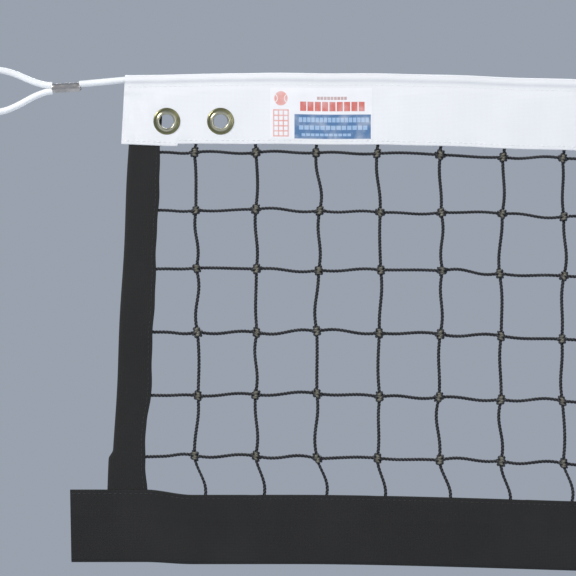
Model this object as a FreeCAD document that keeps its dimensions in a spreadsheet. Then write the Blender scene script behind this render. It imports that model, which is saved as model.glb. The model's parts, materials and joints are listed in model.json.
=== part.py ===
"""Tennis net panel: a knotted twine net bound by a headband, two side tapes and a bottom tape.

Millimetres. +X runs along the net, -Y is the front face and +Z is up. The origin is the centre of
the left outer grommet. The net hangs in one plane, and every knot row is a fold line.
"""
import FreeCAD, Part
import math
import os

import Sketcher

DIMENSIONS = [
    # the knotted net
    ("mesh", 45, "knot to knot, both ways"),
    ("columns", 19, "upright twines"),
    ("rows", 6, "knot rows that show between the tapes"),
    ("first_column", 21, "first upright twine, right of the outer grommet"),
    ("first_row", 22.7, "first knot row, below the grommets"),
    ("twine_dia", 2.6, "laid twine"),
    ("knot_dia", 7.2, "a pulled-up knot"),
    ("knot_clearance", 0.05, "twine in the knot's turns, radially"),
    ("fold_clearance", 0.3, "twine to the knot of the next row"),
    # the headband
    ("band_overhang", 32, "outer grommet to the band's end"),
    ("band_top", 34, "band's top edge above the grommets"),
    ("band_bottom", 16.8, "band's bottom edge below the grommets"),
    ("band_thickness", 5.7, "over both flaps"),
    ("cloth", 0.8, "coated cloth"),
    ("pocket_bore", 5.6, "inside the cable pocket, front to back"),
    ("pocket_floor", 26.8, "pocket's sewn floor above the grommets"),
    ("selvage_height", 18, "top edge of the net inside the band"),
    ("stitch_width", 0.6, "one row of lockstitch"),
    ("stitch_proud", 0.25, "thread above the cloth"),
    ("hem_stitch", 2.8, "stitch row from the free edge"),
    # grommets
    ("grommet_pitch", 39.5, "outer to inner grommet"),
    ("grommet_bore", 10.4, "clear hole"),
    ("grommet_barrel", 0.7, "brass wall"),
    ("grommet_flange_dia", 19.8, "flange and washer"),
    ("grommet_flange", 0.8, "flange thickness"),
    ("grommet_lip_dia", 14.6, "barrel rolled over the washer"),
    ("washer", 0.7, "washer thickness"),
    ("barrel_clearance", 0.1, "barrel in the cloth and the washer, radially"),
    # sewn label
    ("label_left", 76, "label's left edge from the outer grommet"),
    ("label_width", 75, ""),
    ("label_height", 36, ""),
    ("label_bottom", 13, "below the grommets"),
    ("label_thickness", 0.4, ""),
    # cable and its end eyes
    ("cable_dia", 4.8, "over the vinyl jacket"),
    ("core_dia", 2.8, "steel strand"),
    ("jacket_clearance", 0.05, "jacket on the strand, radially"),
    ("cable_height", 30.3, "cable above the grommets"),
    ("cable_droop", 5.3, "degrees, the free end below level"),
    ("turn_clearance", 0.6, "cable in the pocket to the drooping end"),
    ("stub", 32, "band's end to the ferrule"),
    ("ferrule_length", 21, ""),
    ("ferrule_height", 7.0, "across both strands"),
    ("ferrule_depth", 5.2, "front to back"),
    ("strand_spacing", 3.2, "centre to centre in the ferrule"),
    ("dead_end", 2, "strand's end short of the ferrule's face"),
    ("crotch_slit", 0.06, "between the two jackets where they meet"),
    # side tapes
    ("side_outer", 28.3, "outer edge left of the grommet, at the headband"),
    ("side_inner", 6.6, "inner edge left of the grommet, at the headband"),
    ("side_outer_lean", 0.0505, "outer edge's lean, per mm of drop"),
    ("side_inner_lean", 0.040, "inner edge's lean, per mm of drop"),
    ("side_thickness", 3.9, "over both layers"),
    ("side_cloth", 0.6, "webbing"),
    ("side_tuck", 14, "into the net's tapes"),
    ("fold_gap", 1.7, "side tape to a fold line"),
    ("twine_in_tape", 12, "a cross twine's end inside the side tape"),
    # bottom tape
    ("hem_fold", 272.5, "fold line above the bottom tape, below the grommets"),
    ("hem_top", 274.6, "bottom tape's top edge below the grommets"),
    ("hem_height", 51, ""),
    ("hem_overhang", 71, "outer grommet to the bottom tape's end"),
]

# The eye's upper half, from the ferrule's outer face: (along, away from the ferrule's axis).
EYE_ROUTE = [(4.5, 1.6), (14.0, 6.0), (27.0, 12.6), (38.0, 16.0), (54.0, 16.2), (64.0, 7.0)]
RUN_SHARE = 0.45
CROTCH_REACH = 14

doc = FreeCAD.newDocument("tennis_net")
sheet = doc.addObject("Spreadsheet::Sheet", "Sizes")
for line, (alias, number, note) in enumerate(DIMENSIONS, start=1):
    sheet.set(f"A{line}", alias)
    sheet.set(f"B{line}", str(number))
    sheet.set(f"C{line}", note)
    sheet.setAlias(f"B{line}", alias)
doc.recompute()

MIDDLE = "(Sizes.first_column + Sizes.mesh * (Sizes.columns - 1) / 2)"
BAND_LENGTH = f"(2 * ({MIDDLE} + Sizes.band_overhang))"
TWINE_RADIUS = "Sizes.twine_dia / 2"
KNOT_RADIUS = "Sizes.knot_dia / 2"

subparts = []


def value(text):
    """The number that an expression on the sheet gives."""
    return float(sheet.evalExpression(str(text)))


def bind(thing, **sizes):
    """Tie properties to expressions. In a name, __ stands for a dot."""
    for name, text in sizes.items():
        thing.setExpression(name.replace("__", "."), str(text))
    return thing


def place(thing, x="0", y="0", z="0"):
    return bind(thing, Placement__Base__x=x, Placement__Base__y=y, Placement__Base__z=z)


def finished(thing, name):
    """Give a sub-part its name and put it on the list that is written out."""
    thing.Label = name
    subparts.append(thing)
    return thing


def below(row):
    """A knot row's drop below the grommets."""
    return f"(Sizes.first_row + Sizes.mesh * {row - 1})"


# ---- PartDesign helpers ----

def new_body(name):
    body = doc.addObject("PartDesign::Body", name)
    body.AllowCompound = True
    return body


def of_origin(body, role):
    return next(part for part in body.Origin.OriginFeatures if part.Role == role)


def new_sketch(body, plane, name):
    sketch = body.newObject("Sketcher::SketchObject", name)
    sketch.AttachmentSupport = (of_origin(body, plane), [""])
    sketch.MapMode = "FlatFace"
    return sketch


def polygon(sketch, corners):
    """A closed outline whose corners are pairs of expressions, measured from the sketch's origin."""
    ends = [FreeCAD.Vector(value(across), value(up), 0) for across, up in corners]
    count = len(corners)
    for k in range(count):
        sketch.addGeometry(Part.LineSegment(ends[k], ends[(k + 1) % count]))
    for k in range(count):
        sketch.addConstraint(Sketcher.Constraint("Coincident", k, 2, (k + 1) % count, 1))
        for kind, text in zip(("DistanceX", "DistanceY"), corners[k]):
            number = sketch.addConstraint(Sketcher.Constraint(kind, -1, 1, k, 1, value(text)))
            sketch.setExpression(f"Constraints[{number}]", text)


def circle(sketch, diameter):
    """A circle about the sketch's origin."""
    radius = value(diameter) / 2
    sketch.addGeometry(Part.Circle(FreeCAD.Vector(), FreeCAD.Vector(0, 0, 1), radius))
    sketch.addConstraint(Sketcher.Constraint("Coincident", 0, 3, -1, 1))
    number = sketch.addConstraint(Sketcher.Constraint("Diameter", 0, 2 * radius))
    sketch.setExpression(f"Constraints[{number}]", diameter)


def pad(body, sketch, length, symmetric=False, backwards=False):
    feature = body.newObject("PartDesign::Pad", sketch.Name + "_pad")
    feature.Profile = sketch
    feature.Midplane = symmetric
    feature.Reversed = backwards
    return bind(feature, Length=length)


def repeat(body, feature, axis, step, count):
    """Repeat a feature along one of the body's axes, and make the result the body's tip."""
    pattern = body.newObject("PartDesign::LinearPattern", feature.Name + "_pattern")
    pattern.TransformMode = "Whole shape"
    pattern.Direction = (of_origin(body, axis), [""])
    bind(pattern, Length=f"{step} * ({count} - 1)", Occurrences=count)
    body.Tip = pattern
    return pattern


def slab(name, corners, thickness):
    """A flat piece cut to an outline in the net's plane."""
    body = new_body(name)
    sketch = new_sketch(body, "XZ_Plane", name + "_outline")
    polygon(sketch, corners)
    pad(body, sketch, thickness, symmetric=True)
    return body


# ---- Part helpers ----

def box(name, x, y, z, length, width, height):
    solid = doc.addObject("Part::Box", name)
    bind(solid, Length=length, Width=width, Height=height)
    return place(solid, x, y, z)


def rod(name, x, y, z, radius, length, along):
    """A cylinder along +X or +Y."""
    solid = doc.addObject("Part::Cylinder", name)
    turn = (FreeCAD.Vector(0, 1, 0), 90) if along == "x" else (FreeCAD.Vector(1, 0, 0), -90)
    solid.Placement = FreeCAD.Placement(FreeCAD.Vector(), FreeCAD.Rotation(*turn))
    bind(solid, Radius=radius, Height=length)
    return place(solid, x, y, z)


def fuse(name, shapes):
    joined = doc.addObject("Part::MultiFuse", name)
    joined.Shapes = shapes
    return joined


def cut(name, base, tool):
    left = doc.addObject("Part::Cut", name)
    left.Base, left.Tool = base, tool
    return left


def group(name, shapes):
    together = doc.addObject("Part::Compound", name)
    together.Links = shapes
    return together


# ---- headband ----

def grommet_places():
    """The four grommets: two near each end."""
    near = ["0", "Sizes.grommet_pitch"]
    return near + [f"(2 * {MIDDLE} - {x})" for x in reversed(near)]


def make_headband():
    """Cloth folded over the cable: a round pocket on top, two flaps, and the grommets' holes."""
    start = "-Sizes.band_overhang"
    roll = "(Sizes.band_top - Sizes.cloth - Sizes.pocket_bore / 2)"
    bore = "Sizes.pocket_bore / 2"
    flap = "Sizes.band_thickness / 2"
    outside = fuse("band_outside", [
        rod("band_roll", start, "0", roll, f"{bore} + Sizes.cloth", BAND_LENGTH, "x"),
        box("band_pocket", start, f"-({bore} + Sizes.cloth)", "Sizes.pocket_floor - Sizes.cloth",
            BAND_LENGTH, f"2 * ({bore} + Sizes.cloth)", f"{roll} - Sizes.pocket_floor + Sizes.cloth"),
        box("band_flaps", start, f"-{flap}", "-Sizes.band_bottom",
            BAND_LENGTH, "Sizes.band_thickness", "Sizes.band_bottom + Sizes.pocket_floor"),
    ])
    inside = fuse("band_inside", [
        rod("band_roll_inside", start, "0", roll, bore, BAND_LENGTH, "x"),
        box("band_pocket_inside", start, f"-{bore}", "Sizes.pocket_floor",
            BAND_LENGTH, "Sizes.pocket_bore", f"{roll} - Sizes.pocket_floor"),
        box("band_flaps_inside", start, f"-({flap} - Sizes.cloth)", "-Sizes.band_bottom",
            BAND_LENGTH, "Sizes.band_thickness - 2 * Sizes.cloth", "Sizes.band_bottom + Sizes.pocket_floor"),
    ])
    hole = "Sizes.grommet_bore / 2 + Sizes.grommet_barrel + Sizes.barrel_clearance"
    holes = fuse("band_holes", [
        rod(f"band_hole_{k}", x, "-Sizes.band_thickness", "0", hole, "2 * Sizes.band_thickness", "y")
        for k, x in enumerate(grommet_places(), start=1)
    ])
    finished(cut("headband", cut("band_folded", outside, inside), holes), "headband")


def stitch_rows(name, x, length, heights, thickness):
    """Straight rows of lockstitch on the front and the back of a tape."""
    rows = []
    for k, height in enumerate(heights, start=1):
        for side, y in (("front", f"-({thickness}) / 2 - Sizes.stitch_proud"), ("back", f"({thickness}) / 2")):
            rows.append(box(f"{name}_{side}_{k}", x, y, f"{height} - Sizes.stitch_width / 2",
                            length, "Sizes.stitch_proud", "Sizes.stitch_width"))
    finished(group(name, rows), name)


def make_label():
    """A printed cloth label, sewn flat on the band's front."""
    left, low = "Sizes.label_left", "-Sizes.label_bottom"
    right, high = f"{left} + Sizes.label_width", f"{low} + Sizes.label_height"
    body = slab("label", [(left, low), (right, low), (right, high), (left, high)], "Sizes.label_thickness")
    finished(place(body, y="-(Sizes.band_thickness + Sizes.label_thickness) / 2"), "label")


def turned_ring(name, section):
    """A ring turned about the Y axis from a section (radius, depth), repeated at each grommet."""
    body = new_body(name)
    sketch = new_sketch(body, "XY_Plane", name + "_section")
    polygon(sketch, section)
    turned = body.newObject("PartDesign::Revolution", name + "_turned")
    turned.Profile = sketch
    turned.ReferenceAxis = (of_origin(body, "Y_Axis"), [""])
    turned.Angle = 360
    doc.recompute()
    pair = repeat(body, turned, "X_Axis", "Sizes.grommet_pitch", "2")
    doc.recompute()
    repeat(body, pair, "X_Axis", f"(2 * {MIDDLE} - Sizes.grommet_pitch)", "2")
    finished(body, name)


def make_grommets():
    """Each grommet's flange bears on the front, and its barrel is rolled over a washer at the back."""
    bore = "Sizes.grommet_bore / 2"
    barrel = f"{bore} + Sizes.grommet_barrel"
    flange = "Sizes.grommet_flange_dia / 2"
    lip = "Sizes.grommet_lip_dia / 2"
    front = "-Sizes.band_thickness / 2"
    back = "Sizes.band_thickness / 2 + Sizes.washer"
    rim = "Sizes.grommet_flange"
    turned_ring("grommets", [
        (bore, f"{front} - {rim}"), (flange, f"{front} - {rim}"), (flange, front), (barrel, front),
        (barrel, back), (lip, back), (lip, f"{back} + {rim}"), (bore, f"{back} + {rim}"),
    ])
    hole = f"{barrel} + Sizes.barrel_clearance"
    face = "Sizes.band_thickness / 2"
    turned_ring("grommet_washers", [(hole, face), (flange, face), (flange, back), (hole, back)])


# ---- twine ----

def uprights(name, top, length):
    """One length of upright twine at every column, from a depth below the grommets down."""
    body = new_body(name)
    sketch = new_sketch(body, "XY_Plane", name + "_section")
    circle(sketch, "Sizes.twine_dia")
    first = pad(body, sketch, length, backwards=True)
    doc.recompute()
    repeat(body, first, "X_Axis", "Sizes.mesh", "Sizes.columns")
    finished(place(body, x="Sizes.first_column", z=f"-({top})"), name)


def side_edges(depth):
    """The left side tape's outer and inner edge at a depth below the grommets."""
    drop = f"({depth} - Sizes.band_bottom)"
    outer = f"(-Sizes.side_outer - Sizes.side_outer_lean * {drop})"
    inner = f"(-Sizes.side_inner - Sizes.side_inner_lean * {drop})"
    return outer, inner


def cross_twine(name, depth):
    """One twine across the net, between the layers of both side tapes."""
    body = new_body(name)
    sketch = new_sketch(body, "YZ_Plane", name + "_section")
    circle(sketch, "Sizes.twine_dia")
    start = f"({side_edges(depth)[1]} - Sizes.twine_in_tape)"
    pad(body, sketch, f"2 * ({MIDDLE} - {start})")
    finished(place(body, x=start, z=f"-({depth})"), name)


def knots(name, depth):
    """Pulled-up knots at every column: the cross twine goes through, the upright hangs from below."""
    body = new_body(name)
    ball = body.newObject("PartDesign::AdditiveSphere", name + "_ball")
    bind(ball, Radius=KNOT_RADIUS)
    doc.recompute()
    hole = f"{TWINE_RADIUS} + Sizes.knot_clearance"
    across = body.newObject("PartDesign::SubtractiveCylinder", name + "_across")
    across.AttachmentSupport = (of_origin(body, "YZ_Plane"), [""])
    across.MapMode = "FlatFace"
    bind(across, Radius=hole, Height="2 * Sizes.knot_dia", AttachmentOffset__Base__z="-Sizes.knot_dia")
    doc.recompute()
    down = body.newObject("PartDesign::SubtractiveCylinder", name + "_down")
    down.AttachmentSupport = (of_origin(body, "XY_Plane"), [""])
    down.MapMode = "FlatFace"
    bind(down, Radius=hole, Height=KNOT_RADIUS, AttachmentOffset__Base__z=f"-{KNOT_RADIUS}")
    doc.recompute()
    repeat(body, down, "X_Axis", "Sizes.mesh", "Sizes.columns")
    finished(place(body, x="Sizes.first_column", z=f"-({depth})"), name)


# ---- side tapes ----

def side_tape(name, side, top, bottom, straight=False):
    """One stretch of folded webbing: closed at its outer edge, open towards the net."""
    (high_outer, high_inner), (low_outer, low_inner) = side_edges(top), side_edges(bottom)
    if straight:
        high_outer, high_inner = low_outer, low_inner

    def on_side(x):
        return x if side == "left" else f"(2 * {MIDDLE} - {x})"

    def outline(cloth, past):
        return [
            (on_side(f"({low_outer} + {cloth})"), f"-({bottom}) - {past}"),
            (on_side(f"({low_inner} + {past})"), f"-({bottom}) - {past}"),
            (on_side(f"({high_inner} + {past})"), f"-({top}) + {past}"),
            (on_side(f"({high_outer} + {cloth})"), f"-({top}) + {past}"),
        ]

    whole = slab(name + "_whole", outline("0", "0"), "Sizes.side_thickness")
    space = slab(name + "_space", outline("Sizes.side_cloth", "1"), "Sizes.side_thickness - 2 * Sizes.side_cloth")
    finished(cut(name, whole, space), name)


def both_side_tapes(suffix, top, bottom, straight=False):
    for side in ("left", "right"):
        side_tape(f"{side}_side_tape_{suffix}", side, top, bottom, straight)


# ---- cable ----

def make_cable():
    """The straight cable in the band's pocket: a steel strand in a vinyl jacket."""
    start = "-Sizes.band_overhang"
    height = "Sizes.cable_height"
    radius = "Sizes.core_dia / 2"
    finished(rod("cable_core", start, "0", height, radius, BAND_LENGTH, "x"), "cable_core")
    jacket = rod("jacket_outside", start, "0", height, "Sizes.cable_dia / 2", BAND_LENGTH, "x")
    bore = rod("jacket_inside", start, "0", height, f"{radius} + Sizes.jacket_clearance", BAND_LENGTH, "x")
    finished(cut("cable_jacket", jacket, bore), "cable_jacket")


def tube(route, radius, report=""):
    """A solid along straight runs joined by tangent arcs, each as large as its two runs allow."""
    edges = []
    at = route[0]
    for before, corner, after in zip(route, route[1:], route[2:]):
        back, on = before - corner, after - corner
        run = min(back.Length, on.Length)
        back.normalize()
        on.normalize()
        half_turn = (math.pi - back.getAngle(on)) / 2
        bend = RUN_SHARE * run / math.tan(half_turn)
        first, last = corner + back * RUN_SHARE * run, corner + on * RUN_SHARE * run
        inward = (back + on).normalize()
        middle = corner + inward * (bend / math.cos(half_turn) - bend)
        edges += [Part.LineSegment(at, first).toShape(), Part.Arc(first, middle, last).toShape()]
        at = last
        if report:
            print(f"{report}: bend radius {bend:.1f} mm, turn {2 * math.degrees(half_turn):.1f} degrees")
    edges.append(Part.LineSegment(at, route[-1]).toShape())
    path = Part.Wire(edges)
    section = Part.Wire(Part.makeCircle(radius, route[0], (route[1] - route[0])))
    solid = path.makePipeShell([section], True, False)
    length = path.Length
    expected = math.pi * radius ** 2 * length
    if report:
        print(f"{report}: length {length:.1f} mm, volume {solid.Volume:.1f}, section x length {expected:.1f}")
    if abs(solid.Volume - expected) > 0.005 * expected:
        raise RuntimeError("a cord's solid isn't its section times its length")
    return solid


def make_eye(side):
    """The cable's end: a stub, then an eye whose tail is pressed beside it in a ferrule.

    It is made along +X from the band's end and turned to droop. `down` is the tail's side.
    """
    sheet_value = {name: value(f"Sizes.{name}") for name, _, _ in DIMENSIONS}
    down = 1 if side == "left" else -1
    spacing = sheet_value["strand_spacing"]
    stub, length = sheet_value["stub"], sheet_value["ferrule_length"]
    face = stub + length
    start = sheet_value["turn_clearance"]
    core_radius = sheet_value["core_dia"] / 2
    bore_radius = core_radius + sheet_value["jacket_clearance"]
    jacket_radius = sheet_value["cable_dia"] / 2
    axis = spacing / 2

    def point(along, away):
        return FreeCAD.Vector(along, 0, down * (axis + away))

    upper = [point(face + along, -away) for along, away in EYE_ROUTE]
    lower = [point(face + along, away) for along, away in reversed(EYE_ROUTE)]
    live, tail = point(start, -axis), point(stub + sheet_value["dead_end"], axis)
    core = tube([live] + upper + lower + [tail], core_radius, f"{side} eye")

    tip = point(face + EYE_ROUTE[-1][0], 0)
    bore = tube([live] + upper + lower + [tail], bore_radius)
    halves = []
    for away, route in ((-1, upper), (1, lower[::-1])):
        half = tube([point(face, away * axis)] + route + [tip], jacket_radius)
        slit = Part.makeBox(CROTCH_REACH, 2 * jacket_radius, 2 * jacket_radius)
        middle = down * axis + away * down * (sheet_value["crotch_slit"] / 2 - jacket_radius)
        slit.translate(FreeCAD.Vector(face, -jacket_radius, middle - jacket_radius))
        halves.append(half.cut(slit))
    loop = halves[0].fuse(halves[1]).removeSplitter().cut(bore)
    stub_jacket = Part.makeCylinder(jacket_radius, stub - start, live, FreeCAD.Vector(1, 0, 0)).cut(bore)

    half_depth = sheet_value["ferrule_depth"] / 2
    reach = sheet_value["ferrule_height"] / 2 - half_depth
    ends = [Part.makeCylinder(half_depth, length, FreeCAD.Vector(stub, 0, down * axis + step),
                              FreeCAD.Vector(1, 0, 0)) for step in (-reach, reach)]
    middle = Part.makeBox(length, 2 * half_depth, 2 * reach,
                          FreeCAD.Vector(stub, -half_depth, down * axis - reach))
    sleeve = ends[0].fuse([ends[1], middle]).removeSplitter()
    rims = [edge for edge in sleeve.Edges if abs(edge.BoundBox.XLength) < 1e-6]
    sleeve = sleeve.makeChamfer(0.5, rims)
    for away in (-axis, axis):
        sleeve = sleeve.cut(Part.makeCylinder(bore_radius, length + 2, point(stub - 1, away),
                                              FreeCAD.Vector(1, 0, 0)))

    droop = sheet_value["cable_droop"]
    turn = 180 - droop if side == "left" else droop
    overhang = sheet_value["band_overhang"]
    x = -overhang if side == "left" else 2 * value(MIDDLE) + overhang
    where = FreeCAD.Placement(FreeCAD.Vector(x, 0, sheet_value["cable_height"]),
                              FreeCAD.Rotation(FreeCAD.Vector(0, 1, 0), turn))
    for name, shape in ((f"{side}_eye_core", core), (f"{side}_ferrule", sleeve),
                        (f"{side}_eye_jacket", Part.makeCompound([stub_jacket] + loop.Solids))):
        piece = doc.addObject("Part::Feature", name)
        piece.Shape = shape
        piece.Placement = where
        finished(piece, name)


# ---- bottom tape ----

def make_bottom_tape():
    """Cloth folded up round the net's lower edge, as wide as the headband and longer."""
    start = "-Sizes.hem_overhang"
    length = f"(2 * ({MIDDLE} + Sizes.hem_overhang))"
    half = "Sizes.band_thickness / 2"
    inner = f"({half} - Sizes.cloth)"
    fold = f"-(Sizes.hem_top + Sizes.hem_height) + {half}"
    rise = f"Sizes.hem_height - {half}"
    outside = fuse("hem_outside", [
        rod("hem_roll", start, "0", fold, half, length, "x"),
        box("hem_flaps", start, f"-{half}", fold, length, "Sizes.band_thickness", rise),
    ])
    inside = fuse("hem_inside", [
        rod("hem_roll_inside", start, "0", fold, inner, length, "x"),
        box("hem_flaps_inside", start, f"-{inner}", fold, length, f"2 * {inner}", rise),
    ])
    finished(cut("bottom_tape", outside, inside), "bottom_tape")
    stitch_rows("bottom_tape_stitching", start, length,
                ["-Sizes.hem_top - Sizes.hem_stitch"], "Sizes.band_thickness")


# ---- the whole net ----

def make_net():
    rows = int(value("Sizes.rows"))
    clear = "Sizes.fold_clearance"
    gap = "Sizes.fold_gap"
    selvage = "-Sizes.selvage_height"
    next_knot = f"({KNOT_RADIUS} + {clear})"

    cross_twine("top_cross_twine", selvage)
    uprights("top_twine_tails", f"{selvage} + {TWINE_RADIUS}",
             f"{below(1)} - {next_knot} - ({selvage} + {TWINE_RADIUS})")
    both_side_tapes("top", "-Sizes.side_tuck", f"{below(1)} - {gap}", straight=True)

    for row in range(1, rows + 1):
        start = f"{below(row)} + {KNOT_RADIUS} - {TWINE_RADIUS}"
        last = row == rows
        stop = f"(Sizes.hem_fold - {gap})" if last else f"({below(row + 1)} - {next_knot})"
        tape_stop = f"(Sizes.hem_fold - {gap})" if last else f"({below(row + 1)} - {gap})"
        cross_twine(f"cross_twine_{row}", below(row))
        knots(f"knots_{row}", below(row))
        uprights(f"hanging_twines_{row}", start, f"{stop} - ({start})")
        both_side_tapes(str(row), f"({below(row)} + {gap})", tape_stop)

    hem_row = f"({below(rows + 1)})"
    cross_twine("hem_cross_twine", hem_row)
    uprights("hem_twines", f"Sizes.hem_fold + {gap}",
             f"{hem_row} - {TWINE_RADIUS} - (Sizes.hem_fold + {gap})")
    both_side_tapes("tail", f"(Sizes.hem_fold + {gap})", "(Sizes.hem_top + 2 * Sizes.side_tuck)")


make_headband()
stitch_rows("headband_stitching", "-Sizes.band_overhang", BAND_LENGTH,
            ["Sizes.pocket_floor - Sizes.cloth - Sizes.stitch_width", "-Sizes.band_bottom + Sizes.hem_stitch"],
            "Sizes.band_thickness")
make_label()
make_grommets()
make_cable()
make_eye("left")
make_eye("right")
make_net()
make_bottom_tape()
doc.recompute()

for thing in doc.Objects:
    if {"Invalid", "Error"} & set(thing.State):
        raise RuntimeError(f"{thing.Name} failed: {thing.State}")
for piece in subparts:
    if piece.Shape.isNull() or not piece.Shape.isValid() or not piece.Shape.Solids:
        raise RuntimeError(f"{piece.Label} has no valid solid")

os.makedirs("parts", exist_ok=True)
for piece in subparts:
    piece.Shape.exportStep(f"parts/{piece.Label}.step")
    size = piece.Shape.BoundBox
    print(f"{piece.Label}: {len(piece.Shape.Solids)} solids, {piece.Shape.Volume:.0f} mm3, "
          f"x {size.XMin:.1f}..{size.XMax:.1f}, y {size.YMin:.2f}..{size.YMax:.2f}, "
          f"z {size.ZMin:.1f}..{size.ZMax:.1f}")
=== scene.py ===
"""A short tennis net: knotted twine, a white headband on a coated cable, and black side and bottom tapes.

Metres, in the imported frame: +X along the net, -Y out of its front, +Z up, origin at the left outer grommet.
"""

import json
import math

import bpy
import numpy as np
from mathutils import Matrix, Vector


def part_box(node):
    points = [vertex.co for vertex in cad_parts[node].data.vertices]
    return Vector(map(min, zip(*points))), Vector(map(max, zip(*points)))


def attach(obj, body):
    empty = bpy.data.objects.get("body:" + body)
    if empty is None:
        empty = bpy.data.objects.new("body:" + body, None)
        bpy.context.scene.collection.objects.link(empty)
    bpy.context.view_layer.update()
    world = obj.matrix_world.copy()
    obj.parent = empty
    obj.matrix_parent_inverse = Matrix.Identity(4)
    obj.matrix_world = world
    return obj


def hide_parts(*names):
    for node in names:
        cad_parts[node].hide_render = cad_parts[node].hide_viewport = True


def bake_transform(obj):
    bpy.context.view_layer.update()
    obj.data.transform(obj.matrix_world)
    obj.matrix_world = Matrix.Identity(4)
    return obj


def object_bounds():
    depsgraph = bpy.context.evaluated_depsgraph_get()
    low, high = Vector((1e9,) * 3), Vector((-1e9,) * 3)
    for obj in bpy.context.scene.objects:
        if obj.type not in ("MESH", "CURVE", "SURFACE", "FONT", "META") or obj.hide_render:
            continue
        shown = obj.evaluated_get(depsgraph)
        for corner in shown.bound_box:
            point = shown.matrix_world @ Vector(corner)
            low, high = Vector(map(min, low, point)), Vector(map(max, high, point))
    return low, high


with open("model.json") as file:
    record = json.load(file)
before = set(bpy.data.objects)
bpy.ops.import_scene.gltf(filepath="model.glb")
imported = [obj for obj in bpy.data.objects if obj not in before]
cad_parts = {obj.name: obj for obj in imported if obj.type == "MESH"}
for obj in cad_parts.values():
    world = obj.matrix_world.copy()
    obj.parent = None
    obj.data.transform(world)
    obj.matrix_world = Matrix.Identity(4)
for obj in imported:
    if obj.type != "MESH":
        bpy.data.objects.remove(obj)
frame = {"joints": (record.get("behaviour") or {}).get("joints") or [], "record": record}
cad_low, cad_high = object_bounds()

MM = 0.001
rng = np.random.default_rng(11)

# ---- places from the frame ----

joints = {joint["name"]: joint for joint in frame["joints"]}
band_low, band_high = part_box("headband")
hem_low, hem_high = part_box("bottom_tape")
twine_low, twine_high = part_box("hanging_twines_1")
label_low, label_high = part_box("label")
ROWS = 6
COLUMNS = 19
TWINE_RADIUS = twine_high.y
MIDDLE = (band_low.x + band_high.x) / 2
HALF_BAND = (band_high.x - band_low.x) / 2
MESH = (twine_high.x - twine_low.x - 2 * TWINE_RADIUS) / (COLUMNS - 1)
FIRST_COLUMN = twine_low.x + TWINE_RADIUS
FOLDS = [joints[f"row_{row}_fold"]["pos_m"][2] for row in range(1, ROWS + 1)]
HEM_FOLD = joints["bottom_hem_fold"]["pos_m"][2]
HEM_ROW = sum(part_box("hem_cross_twine")[k].z for k in (0, 1)) / 2
TOP_ROW = sum(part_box("top_cross_twine")[k].z for k in (0, 1)) / 2
CABLE_HEIGHT = joints["left_eye_turn"]["pos_m"][2]
GROMMETS = [mount["pos_m"][0] for mount in frame["record"]["mounts"] if mount["kind"] == "bore"]
BODIES = ["headband", *[f"row_{row}" for row in range(1, ROWS + 1)], "bottom_hem"]

# ---- how the cloth and the net hang ----

SAG = 6.8 * MM            # the middle of the net below its ends
FLAT_END = 122 * MM       # the stretch at each end that doesn't sag
BILLOW = 1.0 * MM
ROW_LIFTS = [0, 2.4 * MM, 3.8 * MM, 2.7 * MM, 1.5 * MM, 0.9 * MM]
KNOT_JITTER = 1.0 * MM
TWINE_WAVE = 1.5 * MM
HEM_DRIFT = 6.5 * MM      # uprights lean this far to the right as they enter the bottom tape
BAND_END_LEAN = 1.3 * MM


def smooth(value):
    """0 below 0, 1 above 1 and a soft step between."""
    value = np.clip(value, 0, 1)
    return value * value * (3 - 2 * value)


def from_band_end(x):
    """How far inside the headband's nearer end x lies."""
    return HALF_BAND - np.abs(x - MIDDLE)


def sag(x):
    """How far the net hangs down at x."""
    share = np.clip((from_band_end(x) - FLAT_END) / (HALF_BAND - FLAT_END), 0, 1)
    return SAG * (1 - np.cos(np.pi * share)) / 2


def billow(x, z):
    """How far the net stands off its plane, more towards its foot."""
    foot = 0.35 + 0.65 * smooth(-z / 0.25)
    return BILLOW * foot * (np.sin(2 * np.pi * x / 0.37 + 0.8) + 0.5 * np.sin(2 * np.pi * x / 0.151 + z * 9))


def hang(points):
    """Lets points of the flat net hang: a sag along it and a slight billow."""
    x, y, z = points.T
    return np.stack([x, y + billow(x, z), z - sag(x)], axis=1)


def points_of(piece):
    found = np.zeros(len(piece.data.vertices) * 3)
    piece.data.vertices.foreach_get("co", found)
    return found.reshape(-1, 3)


def move_points(piece, rule):
    """Moves every vertex by a rule on an array of points."""
    piece.data.vertices.foreach_set("co", rule(points_of(piece)).ravel())
    piece.data.update()


# ---- operators ----

def alone(piece):
    """Selects only this piece, and makes it the active one."""
    bpy.ops.object.select_all(action="DESELECT")
    piece.select_set(True)
    bpy.context.view_layer.objects.active = piece
    return piece


def new_piece(name):
    """The primitive that was just added, named and with its place in its mesh."""
    piece = bpy.context.object
    bpy.ops.object.transform_apply(location=True, rotation=True, scale=True)
    piece.name = name
    piece.data.name = name
    return piece


def edit(piece, *steps):
    """Runs edit-mode steps on all of a piece."""
    alone(piece)
    bpy.ops.object.mode_set(mode="EDIT")
    bpy.ops.mesh.select_all(action="SELECT")
    for step in steps:
        step()
    bpy.ops.object.mode_set(mode="OBJECT")
    return piece


def apply(piece, kind, **settings):
    """Adds a modifier and applies it."""
    alone(piece)
    modifier = piece.modifiers.new(kind.lower(), kind)
    for name, value in settings.items():
        setattr(modifier, name, value)
    bpy.ops.object.modifier_apply(modifier=modifier.name)
    return piece


def join(name, pieces):
    bpy.ops.object.select_all(action="DESELECT")
    for piece in pieces:
        piece.select_set(True)
    bpy.context.view_layer.objects.active = pieces[0]
    if len(pieces) > 1:
        bpy.ops.object.join()
    pieces[0].name = name
    pieces[0].data.name = name
    return pieces[0]


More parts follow.
